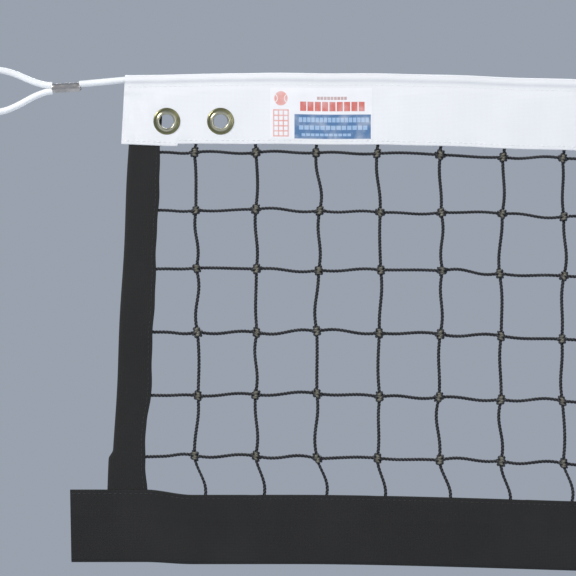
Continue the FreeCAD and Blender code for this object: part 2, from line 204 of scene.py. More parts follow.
def copied(piece, name, transform=None):
    """A copy with its own mesh."""
    twin = piece.copy()
    twin.data = piece.data.copy()
    twin.name = name
    bpy.context.scene.collection.objects.link(twin)
    if transform is not None:
        twin.data.transform(transform)
    return twin


def discard(piece):
    bpy.data.objects.remove(piece)


def face_out(piece):
    return edit(piece, lambda: bpy.ops.mesh.remove_doubles(threshold=1e-6),
                lambda: bpy.ops.mesh.normals_make_consistent(inside=False))


def smooth_faces(piece, degrees=40):
    alone(piece)
    bpy.ops.object.shade_smooth_by_angle(angle=math.radians(degrees))
    return piece


def dressed(piece, material):
    piece.data.materials.clear()
    piece.data.materials.append(material)
    return piece


def turned(name, profile, segments=48):
    """A ring of edges extruded, scaled and moved along a profile of (radius, along), about Z."""
    radius, along = profile[0]
    bpy.ops.mesh.primitive_circle_add(vertices=segments, radius=radius, location=(0, 0, along))
    piece = new_piece(name)
    bpy.ops.object.mode_set(mode="EDIT")
    bpy.ops.mesh.select_all(action="SELECT")
    for next_radius, next_along in profile[1:]:
        bpy.ops.mesh.extrude_edges_move(TRANSFORM_OT_translate={"value": (0, 0, next_along - along)})
        grow = next_radius / radius
        bpy.ops.transform.resize(value=(grow, grow, 1))
        radius, along = next_radius, next_along
    bpy.ops.object.mode_set(mode="OBJECT")
    return piece


# ---- materials ----

INK_EDGE = 0.25 * MM      # how softly a printed shape ends


def shader(name, colour, roughness, **sockets):
    """A Principled material: constants sit on its own sockets."""
    material = bpy.data.materials.new(name)
    material.use_nodes = True
    nodes = material.node_tree.nodes
    surface = nodes["Principled BSDF"]
    surface.inputs["Base Color"].default_value = (*colour, 1)
    surface.inputs["Roughness"].default_value = roughness
    for socket, value in sockets.items():
        surface.inputs[socket.replace("_", " ")].default_value = value
    return material, surface


def group_shell(name, takes, gives):
    """An empty shader group with named sockets: (kind, name, default)."""
    group = bpy.data.node_groups.new(name, "ShaderNodeTree")
    for kind, label, default in takes:
        socket = group.interface.new_socket(label, in_out="INPUT", socket_type=kind)
        if default is not None:
            socket.default_value = default
    for kind, label in gives:
        group.interface.new_socket(label, in_out="OUTPUT", socket_type=kind)
    return group, group.nodes.new("NodeGroupInput"), group.nodes.new("NodeGroupOutput")


def math_node(tree, operation, *values):
    """A Math node: numbers go on its sockets and sockets are linked."""
    node = tree.nodes.new("ShaderNodeMath")
    node.operation = operation
    for socket, value in zip(node.inputs, values):
        if isinstance(value, (int, float)):
            socket.default_value = value
        else:
            tree.links.new(value, socket)
    return node.outputs[0]


def mix_colour(tree, share, first, second):
    node = tree.nodes.new("ShaderNodeMix")
    node.data_type = "RGBA"
    for socket, value in ((node.inputs["Factor"], share), (node.inputs[6], first), (node.inputs[7], second)):
        if isinstance(value, bpy.types.NodeSocket):
            tree.links.new(value, socket)
        elif isinstance(value, (int, float)):
            socket.default_value = value
        else:
            socket.default_value = (*value, 1)
    return node.outputs[2]


def weave_group():
    """Plain weave in cloth coordinates: the height of the yarns, and where the gaps between them are."""
    group, takes, gives = group_shell(
        "plain_weave",
        [("NodeSocketVector", "Cloth", None), ("NodeSocketFloat", "Yarn", 0.0008)],
        [("NodeSocketFloat", "Height"), ("NodeSocketFloat", "Gap")])
    split = group.nodes.new("ShaderNodeSeparateXYZ")
    group.links.new(takes.outputs["Cloth"], split.inputs[0])
    waves = []
    for axis in (0, 1):
        turns = math_node(group, "DIVIDE", split.outputs[axis], takes.outputs["Yarn"])
        waves.append(math_node(group, "MULTIPLY", turns, math.pi))
    warp = math_node(group, "ABSOLUTE", math_node(group, "SINE", waves[0]))
    weft = math_node(group, "ABSOLUTE", math_node(group, "SINE", waves[1]))
    crossing = math_node(group, "MULTIPLY", math_node(group, "SINE", waves[0]),
                         math_node(group, "SINE", waves[1]))
    over = math_node(group, "MULTIPLY_ADD", crossing, 0.5, 0.5)
    blend = group.nodes.new("ShaderNodeMix")
    group.links.new(over, blend.inputs["Factor"])
    group.links.new(warp, blend.inputs[2])
    group.links.new(weft, blend.inputs[3])
    group.links.new(blend.outputs[0], gives.inputs["Height"])
    gap = math_node(group, "SUBTRACT", 1, math_node(group, "MULTIPLY", warp, weft))
    group.links.new(math_node(group, "POWER", gap, 3), gives.inputs["Gap"])
    return group


def mottle_group():
    """Soft patches and fine specks of a second colour, as from handling and dust."""
    group, takes, gives = group_shell(
        "mottle",
        [("NodeSocketVector", "Vector", None), ("NodeSocketFloat", "Patch Scale", 12.0),
         ("NodeSocketFloat", "Speck Scale", 400.0), ("NodeSocketFloat", "Amount", 0.5)],
        [("NodeSocketFloat", "Mask"), ("NodeSocketFloat", "Fine")])
    noises = []
    for label, detail in (("Patch Scale", 4), ("Speck Scale", 2)):
        noise = group.nodes.new("ShaderNodeTexNoise")
        noise.inputs["Detail"].default_value = detail
        group.links.new(takes.outputs["Vector"], noise.inputs["Vector"])
        group.links.new(takes.outputs[label], noise.inputs["Scale"])
        noises.append(noise.outputs["Fac"])
    patches = group.nodes.new("ShaderNodeMapRange")
    patches.inputs["From Min"].default_value = 0.42
    patches.inputs["From Max"].default_value = 0.72
    group.links.new(noises[0], patches.inputs["Value"])
    both = math_node(group, "MULTIPLY_ADD", noises[1], 0.35, patches.outputs[0])
    group.links.new(math_node(group, "MULTIPLY", both, takes.outputs["Amount"]), gives.inputs["Mask"])
    group.links.new(noises[1], gives.inputs["Fine"])
    return group


def bar_group():
    """A printed bar, whole or broken into blocks of one length: 1 in the ink and 0 outside."""
    group, takes, gives = group_shell(
        "printed_bar",
        [("NodeSocketVector", "Cloth", None), ("NodeSocketVector", "Centre", None),
         ("NodeSocketVector", "Half Size", None), ("NodeSocketFloat", "Block", 1.0)],
        [("NodeSocketFloat", "Mask")])
    split = []
    for label in ("Cloth", "Centre", "Half Size"):
        node = group.nodes.new("ShaderNodeSeparateXYZ")
        group.links.new(takes.outputs[label], node.inputs[0])
        split.append(node)
    masks = []
    for axis in (0, 1):
        away = math_node(group, "ABSOLUTE", math_node(group, "SUBTRACT", split[0].outputs[axis],
                                                      split[1].outputs[axis]))
        inside = math_node(group, "SUBTRACT", split[2].outputs[axis], away)
        masks.append(math_node(group, "MULTIPLY", inside, 1 / INK_EDGE))
    mask = math_node(group, "MINIMUM", masks[0], masks[1])
    clamp = group.nodes.new("ShaderNodeClamp")
    group.links.new(mask, clamp.inputs[0])
    from_centre = math_node(group, "SUBTRACT", split[0].outputs[0], split[1].outputs[0])
    blocks = math_node(group, "DIVIDE", from_centre, takes.outputs["Block"])
    block = math_node(group, "FRACT", math_node(group, "ADD", blocks, 0.5))
    printed = math_node(group, "GREATER_THAN", block, 0.17)
    group.links.new(math_node(group, "MULTIPLY", clamp.outputs[0], printed), gives.inputs["Mask"])
    return group


def ring_group():
    """A printed ring, or a disc where its half width equals its radius: 1 in the ink and 0 outside."""
    group, takes, gives = group_shell(
        "printed_ring",
        [("NodeSocketVector", "Cloth", None), ("NodeSocketVector", "Centre", None),
         ("NodeSocketFloat", "Radius", 0.003), ("NodeSocketFloat", "Half Width", 0.001)],
        [("NodeSocketFloat", "Mask")])
    away = group.nodes.new("ShaderNodeVectorMath")
    away.operation = "DISTANCE"
    group.links.new(takes.outputs["Cloth"], away.inputs[0])
    group.links.new(takes.outputs["Centre"], away.inputs[1])
    off = math_node(group, "ABSOLUTE", math_node(group, "SUBTRACT", away.outputs["Value"],
                                                 takes.outputs["Radius"]))
    inside = math_node(group, "SUBTRACT", takes.outputs["Half Width"], off)
    clamp = group.nodes.new("ShaderNodeClamp")
    group.links.new(math_node(group, "MULTIPLY", inside, 1 / INK_EDGE), clamp.inputs[0])
    group.links.new(clamp.outputs[0], gives.inputs["Mask"])
    return group


WEAVE, MOTTLE, BAR, RING = weave_group(), mottle_group(), bar_group(), ring_group()


def use(material, group, **values):
    """Places a group in a material. Values are numbers, vectors or sockets to link."""
    tree = material.node_tree
    node = tree.nodes.new("ShaderNodeGroup")
    node.node_tree = group
    for label, value in values.items():
        socket = node.inputs[label.replace("_", " ")]
        if isinstance(value, bpy.types.NodeSocket):
            tree.links.new(value, socket)
        else:
            socket.default_value = value
    return node


def coordinates(material, kind):
    return material.node_tree.nodes.new("ShaderNodeTexCoord").outputs[kind]


def bump(material, surface, height, strength, distance):
    tree = material.node_tree
    node = tree.nodes.new("ShaderNodeBump")
    node.inputs["Strength"].default_value = strength
    node.inputs["Distance"].default_value = distance
    tree.links.new(height, node.inputs["Height"])
    tree.links.new(node.outputs[0], surface.inputs["Normal"])


def cloth(name, colour, soiled, yarn, roughness, depth, amount, **sockets):
    """A woven cloth: its yarns with painted shade in the gaps between them, soft soiling, and a rougher look
    where it is soiled.
    """
    material, surface = shader(name, colour, roughness, **sockets)
    tree = material.node_tree
    on_cloth = coordinates(material, "UV")
    yarns = use(material, WEAVE, Cloth=on_cloth, Yarn=yarn)
    patches = use(material, MOTTLE, Vector=coordinates(material, "Object"), Patch_Scale=14.0,
                  Speck_Scale=900.0, Amount=amount)
    tint = mix_colour(tree, patches.outputs["Mask"], colour, soiled)
    # Painted shade: the gaps between the yarns are darkened.
    gap_shade_colour = tuple(0.8 * part for part in colour)
    shade = math_node(tree, "MULTIPLY", yarns.outputs["Gap"], 0.5)
    tree.links.new(mix_colour(tree, shade, tint, gap_shade_colour), surface.inputs["Base Color"])
    tree.links.new(math_node(tree, "MULTIPLY_ADD", patches.outputs["Mask"], 0.15, roughness),
                   surface.inputs["Roughness"])
    height = math_node(tree, "MULTIPLY_ADD", patches.outputs["Fine"], 0.35, yarns.outputs["Height"])
    bump(material, surface, height, 0.6, depth)
    return material


def band_cloth():
    return cloth("band_cloth", (0.83, 0.84, 0.86), (0.74, 0.75, 0.76), 0.9 * MM, 0.42, 0.05 * MM, 0.35,
                 Specular_IOR_Level=0.45)


def black_webbing(name):
    return cloth(name, (0.013, 0.013, 0.013), (0.026, 0.026, 0.026), 1.1 * MM, 0.82, 0.2 * MM, 0.5,
                 Specular_IOR_Level=0.3, Sheen_Weight=0.04, Sheen_Roughness=0.5)


TWINE_BLACK = (0.018, 0.02, 0.026)
TWINE_DARK, TWINE_PALE = (0.009, 0.01, 0.014), (0.034, 0.036, 0.042)
# The darkest colour here is painted shade for the hollows between the twine's strands.
# The pale colour here is a painted highlight on the knots' fronts and backs.
TWINE_PAINTED_SHADE, TWINE_HIGHLIGHT = (0.004, 0.004, 0.006), (0.40, 0.38, 0.28)


def twine_material():
    """Black synthetic twine, with painted shade in the hollows between its strands."""
    material, surface = shader("net_twine", TWINE_BLACK, 0.52, Specular_IOR_Level=0.4)
    tree = material.node_tree
    place = coordinates(material, "Object")
    specks = use(material, MOTTLE, Vector=place, Patch_Scale=90.0, Speck_Scale=2600.0, Amount=0.8)
    colour = mix_colour(tree, specks.outputs["Mask"], TWINE_DARK, TWINE_PALE)
    # Painted shade: the hollows between the strands are darkened.
    hollow_shade = tree.nodes.new("ShaderNodeAttribute")
    hollow_shade.attribute_name = "hollow_shade"
    colour = mix_colour(tree, hollow_shade.outputs["Fac"], colour, TWINE_PAINTED_SHADE)
    tree.links.new(colour, surface.inputs["Base Color"])
    bump(material, surface, specks.outputs["Fine"], 0.5, 0.15 * MM)
    return material


def knot_material():
    """The knots' twine: strands wound round each turn with painted shade between them, and a pale painted
    highlight on the front and back of each knot.
    """
    material, surface = shader("knot_twine", TWINE_BLACK, 0.5, Specular_IOR_Level=0.4)
    tree = material.node_tree
    place = coordinates(material, "Object")
    specks = use(material, MOTTLE, Vector=place, Patch_Scale=120.0, Speck_Scale=2600.0, Amount=0.8)
    # Painted highlight: the knot's front and back are mixed towards a pale colour.
    painted_highlight = tree.nodes.new("ShaderNodeAttribute")
    painted_highlight.attribute_name = "painted_highlight"
    colour = mix_colour(tree, specks.outputs["Mask"], TWINE_DARK, TWINE_PALE)
    colour = mix_colour(tree, painted_highlight.outputs["Fac"], colour, TWINE_HIGHLIGHT)
    split = tree.nodes.new("ShaderNodeSeparateXYZ")
    tree.links.new(coordinates(material, "UV"), split.inputs[0])
    around = math_node(tree, "MULTIPLY", split.outputs[1], 3 * math.pi)
    winding = math_node(tree, "MULTIPLY_ADD", split.outputs[0], 5 * math.pi, around)
    strands = math_node(tree, "ABSOLUTE", math_node(tree, "SINE", winding))
    # Painted shade between the strands wound round each knot.
    strand_gap_shade = math_node(tree, "SUBTRACT", 1, math_node(tree, "POWER", strands, 0.5))
    colour = mix_colour(tree, strand_gap_shade, colour, TWINE_PAINTED_SHADE)
    tree.links.new(colour, surface.inputs["Base Color"])
    bump(material, surface, strands, 0.9, 0.5 * MM)
    return material


def thread(name, colour, sheen=0.3):
    material, surface = shader(name, colour, 0.6, Sheen_Weight=sheen)
    tree = material.node_tree
    specks = use(material, MOTTLE, Vector=coordinates(material, "Object"), Patch_Scale=60.0,
                 Speck_Scale=3000.0, Amount=0.4)
    darker = tuple(0.7 * part for part in colour)
    tree.links.new(mix_colour(tree, specks.outputs["Mask"], colour, darker), surface.inputs["Base Color"])
    bump(material, surface, specks.outputs["Fine"], 0.5, 0.08 * MM)
    return material


def metal(name, colour, tarnish, roughness, amount, patch_scale, highlight_colour=None, pitted=0.25):
    """Metal with tarnish in soft patches and fine pits.

    With a highlight colour, a painted highlight is mixed in wherever the piece's "tarnish" attribute is below
    1.
    """
    material, surface = shader(name, colour, roughness, Metallic=1.0)
    tree = material.node_tree
    spots = use(material, MOTTLE, Vector=coordinates(material, "Object"), Patch_Scale=patch_scale,
                Speck_Scale=1500.0, Amount=amount)
    mixed = mix_colour(tree, spots.outputs["Mask"], colour, tarnish)
    if highlight_colour is not None:
        # Painted highlight: the highlight colour is mixed in where the "tarnish" attribute is low.
        outer_rim = tree.nodes.new("ShaderNodeAttribute")
        outer_rim.attribute_name = "tarnish"
        mixed = mix_colour(tree, outer_rim.outputs["Fac"], mix_colour(tree, 0.4, mixed, highlight_colour), mixed)
    tree.links.new(mixed, surface.inputs["Base Color"])
    tree.links.new(math_node(tree, "MULTIPLY_ADD", spots.outputs["Mask"], 0.25, roughness),
                   surface.inputs["Roughness"])
    bump(material, surface, spots.outputs["Fine"], pitted, 0.04 * MM)
    return material


def vinyl():
    """The cable's white jacket, faintly yellowed and scuffed."""
    material, surface = shader("white_vinyl", (0.84, 0.86, 0.88), 0.32, Coat_Weight=0.15)
    tree = material.node_tree
    scuffs = use(material, MOTTLE, Vector=coordinates(material, "Object"), Patch_Scale=45.0,
                 Speck_Scale=700.0, Amount=0.45)
    tree.links.new(mix_colour(tree, scuffs.outputs["Mask"], (0.86, 0.88, 0.9), (0.7, 0.71, 0.72)),
                   surface.inputs["Base Color"])
    tree.links.new(math_node(tree, "MULTIPLY_ADD", scuffs.outputs["Mask"], 0.3, 0.3),
                   surface.inputs["Roughness"])
    bump(material, surface, scuffs.outputs["Fine"], 0.2, 0.08 * MM)
    return material


RED_INK, BLUE_INK = (0.62, 0.13, 0.1), (0.045, 0.15, 0.33)
PALE_RED, PALE_BLUE = (0.74, 0.33, 0.29), (0.30, 0.46, 0.68)
LABEL_WHITE = (0.84, 0.84, 0.86)
# (centre, half size, length of one printed block or 0, ink), from the label's lower left corner
LABEL_BARS = [
    ((45.9, 9.2), (28.2, 8.9), 0, BLUE_INK),
    ((46.5, 14.2), (26.0, 1.8), 52 / 17, PALE_BLUE),
    ((46.0, 8.6), (25.5, 1.7), 51 / 13, PALE_BLUE),
    ((41.0, 3.4), (18.5, 1.1), 37 / 11, PALE_BLUE),
    ((45.3, 23.4), (24.2, 3.3), 48.4 / 9, RED_INK),
    ((45.2, 29.0), (11.2, 1.2), 22.4 / 9, (0.5, 0.33, 0.32)),
]
LABEL_BARS += [((7.9, 2.2 + 3.7 * line), (5.8, 0.55), 0, PALE_RED) for line in range(6)]
LABEL_BARS += [((2.6 + 3.54 * line, 11.4), (0.55, 9.7), 0, PALE_RED) for line in range(4)]
BALL_CENTRE, BALL_RADIUS, SEAM_SIDES = (7.9, 28.6), 5.0, (-5.6, 5.6)


def label_print():
    """Plain bars and panels of ink on white cloth: no lettering and no figure."""
    material, surface = shader("label_print", (0.8, 0.8, 0.82), 0.5)
    tree = material.node_tree
    on_cloth = coordinates(material, "UV")
    ink = LABEL_WHITE
    for centre, half_size, block, colour in LABEL_BARS:
        bar = use(material, BAR, Cloth=on_cloth, Centre=[part * MM for part in (*centre, 0)],
                  Half_Size=[part * MM for part in (*half_size, 0)], Block=(block or 1000) * MM)
        ink = mix_colour(tree, bar.outputs["Mask"], ink, colour)
    ball = use(material, RING, Cloth=on_cloth, Centre=[part * MM for part in (*BALL_CENTRE, 0)],
               Radius=BALL_RADIUS / 2 * MM, Half_Width=BALL_RADIUS / 2 * MM)
    ink = mix_colour(tree, ball.outputs["Mask"], ink, PALE_RED)
    for aside in SEAM_SIDES:
        centre = [(BALL_CENTRE[0] + aside) * MM, BALL_CENTRE[1] * MM, 0]
        seam = use(material, RING, Cloth=on_cloth, Centre=centre, Radius=3.0 * MM, Half_Width=0.4 * MM)
        on_ball = math_node(tree, "MULTIPLY", seam.outputs["Mask"], ball.outputs["Mask"])
        ink = mix_colour(tree, on_ball, ink, LABEL_WHITE)
    faded = use(material, MOTTLE, Vector=coordinates(material, "Object"), Patch_Scale=140.0,
                Speck_Scale=1800.0, Amount=0.3)
    tree.links.new(mix_colour(tree, faded.outputs["Mask"], ink, (0.78, 0.78, 0.8)),
                   surface.inputs["Base Color"])
    yarns = use(material, WEAVE, Cloth=on_cloth, Yarn=0.45 * MM)
    bump(material, surface, yarns.outputs["Height"], 0.5, 0.06 * MM)
    return material


BAND_CLOTH = band_cloth()
SIDE_WEBBING = black_webbing("side_webbing")
HEM_CLOTH = black_webbing("bottom_tape_cloth")
NET_TWINE, KNOT_TWINE = twine_material(), knot_material()
WHITE_THREAD = thread("white_thread", (0.86, 0.87, 0.88))
BLACK_THREAD = thread("black_thread", (0.02, 0.02, 0.021), 0.1)
# The last colour of the brass is a cream painted highlight round the grommets' bores.
BRASS = metal("grommet_brass", (0.27, 0.26, 0.14), (0.12, 0.12, 0.05), 0.24, 0.8, 160.0, (0.85, 0.82, 0.7))
FERRULE_METAL = metal("ferrule_metal", (0.52, 0.5, 0.49), (0.2, 0.18, 0.165), 0.28, 0.5, 140.0,
                      pitted=0.08)
STRAND_STEEL = metal("strand_steel", (0.5, 0.5, 0.5), (0.25, 0.24, 0.23), 0.35, 0.6, 200.0)
VINYL = vinyl()
LABEL_PRINT = label_print()


# ---- camera, light and floor ----

def look_from_the_front():
    """A long lens, square to the net, on its left end."""
    view_centre = Vector((0.0891, 0, -0.1225))
    view_width = 0.4234
    distance = 3.2
    bpy.ops.object.camera_add(location=view_centre - Vector((0, distance, 0)), rotation=(math.pi / 2, 0, 0))
    camera = bpy.context.object
    camera.data.lens = camera.data.sensor_width * distance / view_width
    camera.data.clip_end = 60
    bpy.context.scene.camera = camera


def soft_light(name, place, aim, size, power, colour):
    bpy.ops.object.light_add(type="AREA", location=place)
    light = bpy.context.object
    light.name = name
    light.data.size = size
    light.data.energy = power
    light.data.color = colour
    light.rotation_euler = (Vector(aim) - Vector(place)).to_track_quat("-Z", "Y").to_euler()


def studio():
    bpy.context.scene.view_settings.view_transform = "Standard"
    world = bpy.data.worlds.new("pale_room")
    bpy.context.scene.world = world
    world.use_nodes = True
    world.node_tree.nodes["Background"].inputs["Color"].default_value = (0.40, 0.45, 0.53, 1)
    world.node_tree.nodes["Background"].inputs["Strength"].default_value = 0.8
    aim = (MIDDLE - 0.2, 0, -0.12)
    soft_light("key", (-1.9, -1.5, 1.5), aim, 0.9, 74, (1, 0.97, 0.93))
    soft_light("fill", (1.6, -2.6, 0.6), aim, 1.8, 24, (1, 0.98, 0.96))
    soft_light("back", (0.6, 2.4, 1.6), aim, 1.6, 40, (0.95, 0.97, 1))
    bpy.ops.mesh.primitive_plane_add(size=14, location=(MIDDLE, 0, cad_low.z - 0.7))
    floor = new_piece("floor")
    bpy.ops.object.mode_set(mode="EDIT")
    bpy.ops.mesh.subdivide(number_cuts=3)
    bpy.ops.object.mode_set(mode="OBJECT")
    material, _ = shader("pale_floor", (0.70, 0.73, 0.77), 0.9)
    floor.data.materials.append(material)


look_from_the_front()
studio()

# ---- the cable's eyes ----

EYE_ROUTE = [(4.5, 1.6), (14.0, 6.0), (27.0, 12.6), (38.0, 16.0), (54.0, 16.2), (64.0, 7.0)]
STUB = 32 * MM
FERRULE_LENGTH = 21 * MM
CABLE_RADIUS = 2.4 * MM
STRAND_RADIUS = 1.4 * MM
STRAND_OFF = 1.6 * MM     # from the sleeve's axis to each strand's
SLEEVE_TILT = 2.5         # degrees that the sleeve and the loop lift off the cable's line


def eye_frame(side):
    """The eye's exit from the headband, its outward direction and the direction that its tail lies in."""
    joint = joints[f"{side}_eye_turn"]
    outward = Vector(joint["axis"]) * (-1 if side == "left" else 1)
    tail = Vector((outward.z, 0, -outward.x))
    return Vector(joint["pos_m"]), outward, tail * (-1 if tail.z > 0 else 1)


def spline_tube(name, route, radius):
    """A round cord along one smooth spline."""
    data = bpy.data.curves.new(name, "CURVE")
    data.dimensions = "3D"
    data.bevel_depth = radius
    data.bevel_resolution = 6
    data.use_fill_caps = True
    spline = data.splines.new("NURBS")
    spline.points.add(len(route) - 1)
    for point, place in zip(spline.points, route):
        point.co = (*place, 1)
    spline.order_u = 3
    spline.use_endpoint_u = True
    spline.resolution_u = 12
    piece = bpy.data.objects.new(name, data)
    bpy.context.scene.collection.objects.link(piece)
    return piece


def spline_length(piece):
    """The length of a cord's own line."""
    bare = piece.data.copy()
    bare.bevel_depth = 0
    carrier = bpy.data.objects.new("bare", bare)
    mesh = bpy.data.meshes.new_from_object(carrier)
    spots = mesh.vertices
    length = sum((spots[edge.vertices[0]].co - spots[edge.vertices[1]].co).length for edge in mesh.edges)
    bpy.data.meshes.remove(mesh)
    bpy.data.objects.remove(carrier)
    return length


def lifted(middle, outward):
    """A small turn about the sleeve's middle that brings the eye nearer level."""
    angle = math.radians(SLEEVE_TILT) * (-1 if outward.x > 0 else 1)
    return Matrix.Translation(middle) @ Matrix.Rotation(angle, 4, "Y") @ Matrix.Translation(-middle)


def make_ferrule(side, exit_point, outward, tail):
    """A pressed oval sleeve with rolled ends and two shallow press marks."""
    half = FERRULE_LENGTH / 2
    profile = [(0.6, -half), (2.1, -half), (2.45, -half + 0.15 * MM), (2.6, -half + 0.6 * MM)]
    for middle in (-4.6 * MM, 4.6 * MM):
        profile += [(2.6 - 0.09 * math.cos(step * math.pi / 6), middle + step * MM) for step in range(-3, 4)]
    profile += [(2.6, half - 0.6 * MM), (2.45, half - 0.15 * MM), (2.1, half), (0.6, half)]
    piece = turned(f"{side}_ferrule_sleeve", [(radius * MM, along) for radius, along in profile], 40)
    edit(piece, lambda: bpy.ops.mesh.fill_holes(sides=0))
    face_out(piece)
    across = outward.cross(tail)
    turn = Matrix((tail, across, outward)).transposed().to_4x4()
    middle = exit_point + outward * (STUB + half) + tail * STRAND_OFF
    piece.data.transform(Matrix.Translation(middle) @ turn @ Matrix.Diagonal((3.5 / 2.6, 1, 1, 1)))
    piece.data.transform(lifted(middle, outward))
    smooth_faces(piece, 35)
    dressed(piece, FERRULE_METAL)
    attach(piece, f"{side}_eye")
    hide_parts(f"{side}_ferrule")
    return piece


def make_strand_end(side, exit_point, outward, tail):
    """The cut end of the steel strand, which stands out of the sleeve beside the cable."""
    strand = laid_rope(f"{side}_strand_end", 6 * MM, STRAND_RADIUS, 6 * MM)
    strand.data.transform((-outward).to_track_quat("Z", "Y").to_matrix().to_4x4())
    strand.data.transform(Matrix.Translation(exit_point + outward * (STUB + 5 * MM) + tail * 2 * STRAND_OFF))
    dressed(strand, STRAND_STEEL)
    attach(strand, f"{side}_eye")
    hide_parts(f"{side}_eye_core")
    return strand


def make_eye(side):
    """A cable end: the stub out of the headband, the sleeve, the loop and the strand's cut end."""
    exit_point, outward, tail = eye_frame(side)
    ferrule = make_ferrule(side, exit_point, outward, tail)
    stub_route = [exit_point + outward * along * MM for along in (-1.5, 7, 16, 25, 32.4)]
    stub = spline_tube(f"{side}_cable_stub", stub_route, CABLE_RADIUS)
    face = exit_point + outward * (STUB + FERRULE_LENGTH) + tail * STRAND_OFF
    upper = [(-0.6, 2.2), (2.5, 2.3), (6.0, 3.0)] + [(along, away - 0.3) for along, away in EYE_ROUTE[1:]]
    loop_route = [face + outward * along * MM - tail * away * MM for along, away in upper]
    loop_route += [face + outward * along * MM + tail * away * MM for along, away in reversed(upper)]
    lift = lifted(face - outward * FERRULE_LENGTH / 2, outward)
    loop = spline_tube(f"{side}_cable_eye", [lift @ place for place in loop_route], CABLE_RADIUS)
    strand_end = make_strand_end(side, exit_point, outward, tail)
    for piece, start, with_pieces in ((stub, exit_point, []), (loop, face, [ferrule, strand_end])):
        piece.data.materials.append(VINYL)
        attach(piece, f"{side}_eye")
        round(spline_length(piece), 4)
    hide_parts(f"{side}_eye_jacket")


# ---- rods, ropes and folded strips ----

def drawn_out(name, radius, length, steps, sides, offset=0.0, turns=0.0):
    """A circle drawn out along Z from 0 to length; with turns it winds round the axis as it goes."""
    bpy.ops.mesh.primitive_circle_add(vertices=sides, radius=radius, location=(offset, 0, 0))
    piece = new_piece(name)
    count = max(1, round(turns))
    apply(piece, "SCREW", axis="Z", angle=2 * math.pi if turns else 0, screw_offset=length / count,
          iterations=count, steps=steps, render_steps=steps, use_merge_vertices=True)
    edit(piece, lambda: bpy.ops.mesh.fill_holes(sides=0))
    return face_out(piece)


LAY = 7.5 * MM            # the twine's length for one turn of its strands


def laid_rope(name, length, radius=TWINE_RADIUS, lay=LAY, steps=12, sides=6):
    """Three strands laid round each other along Z, with how deep each point lies in the hollows, which the
    twine's material darkens as painted shade.
    """
    turns = max(1, round(length / lay))
    strands = []
    for turn in range(3):
        strand = drawn_out(name, 0.52 * radius, length, steps, sides, 0.49 * radius, turns)
        strand.data.transform(Matrix.Rotation(turn * 2 * math.pi / 3, 4, "Z"))
        strands.append(strand)
    rope = join(name, strands)
    x, y, _ = points_of(rope).T
    # How deep in the hollows each point lies: the twine's material paints shade there.
    hollow_shade = rope.data.attributes.new("hollow_shade", "FLOAT", "POINT")
    hollow_shade.data.foreach_set("value", smooth((radius - np.hypot(x, y)) / (0.55 * radius)))
    alone(rope)
    bpy.ops.object.shade_smooth()
    return rope


def arc(centre, radius, start, end, steps):
    """Points on an arc, in degrees."""
    angles = np.radians(np.linspace(start, end, steps + 1))
    return [(centre[0] + radius * math.cos(a), centre[1] + radius * math.sin(a)) for a in angles]


def even_steps(path, step):
    """The same path with points no farther apart than a step, and how far along it each one is."""
    path = np.array(path)
    points = [path[0]]
    for first, second in zip(path[:-1], path[1:]):
        gap = np.linalg.norm(second - first)
        if gap > 1e-7:
            parts = max(1, math.ceil(gap / step))
            points += [first + (second - first) * k / parts for k in range(1, parts + 1)]
    points = np.array(points)
    along = np.concatenate([[0], np.cumsum(np.linalg.norm(np.diff(points, axis=0), axis=1))])
    return points, along


def strip(name, lengthwise, section, place):
    """A grid with its columns at the lengthwise stations and its rows along a folded section.

    place(stations, section points) gives the vertices, and the UV map holds the flat cloth in metres.
    """
    points, along = section
    bpy.ops.mesh.primitive_grid_add(x_subdivisions=len(lengthwise) - 1, y_subdivisions=len(points) - 1,
                                    size=2)
    piece = new_piece(name)
    flat = points_of(piece)
    column = np.rint((flat[:, 0] + 1) / 2 * (len(lengthwise) - 1)).astype(int)
    row = np.rint((flat[:, 1] + 1) / 2 * (len(points) - 1)).astype(int)
    stations = np.asarray(lengthwise)[column]
    layer = piece.data.uv_layers[0]
    on_corner = np.zeros(len(piece.data.loops), dtype=int)
    piece.data.loops.foreach_get("vertex_index", on_corner)
    layer.data.foreach_set("uv", np.stack([stations, along[row]], axis=1)[on_corner].ravel())
    move_points(piece, lambda _: place(stations, points[row]))
    return piece


def thickened(piece, thickness, offset=0):
    """Gives cloth its thickness."""
    edit(piece, lambda: bpy.ops.mesh.normals_make_consistent(inside=False))
    apply(piece, "SOLIDIFY", thickness=thickness, offset=offset, use_even_offset=False)
    edit(piece, lambda: bpy.ops.mesh.normals_make_consistent(inside=False))
    return smooth_faces(piece, 50)


# ---- the headband ----

CLOTH = 0.8 * MM
FACE = 2.45 * MM          # from the net's plane to the middle of the cloth
HEM_LEG = 1.72 * MM       # the same to the leg that is turned in
HEM_TURN = (FACE - HEM_LEG) / 2
ROLL = 3.2 * MM           # the cloth's radius round the cable
HALF_STITCH = 0.3 * MM
BAND_TOP_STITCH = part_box("headband_stitching")[1].z - HALF_STITCH
BAND_FOOT_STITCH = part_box("headband_stitching")[0].z + HALF_STITCH
STITCH_PITCH = 3.8 * MM
STITCH_LENGTH = 3.1 * MM
TURNED_END = 40.2 * MM    # how far in the headband's turned end reaches
HOLE_RADIUS = 5.6 * MM
MOUTH_REACH = 18 * MM     # the pocket opens out over this much at each end
MOUTH_WIDER = 0.7 * MM


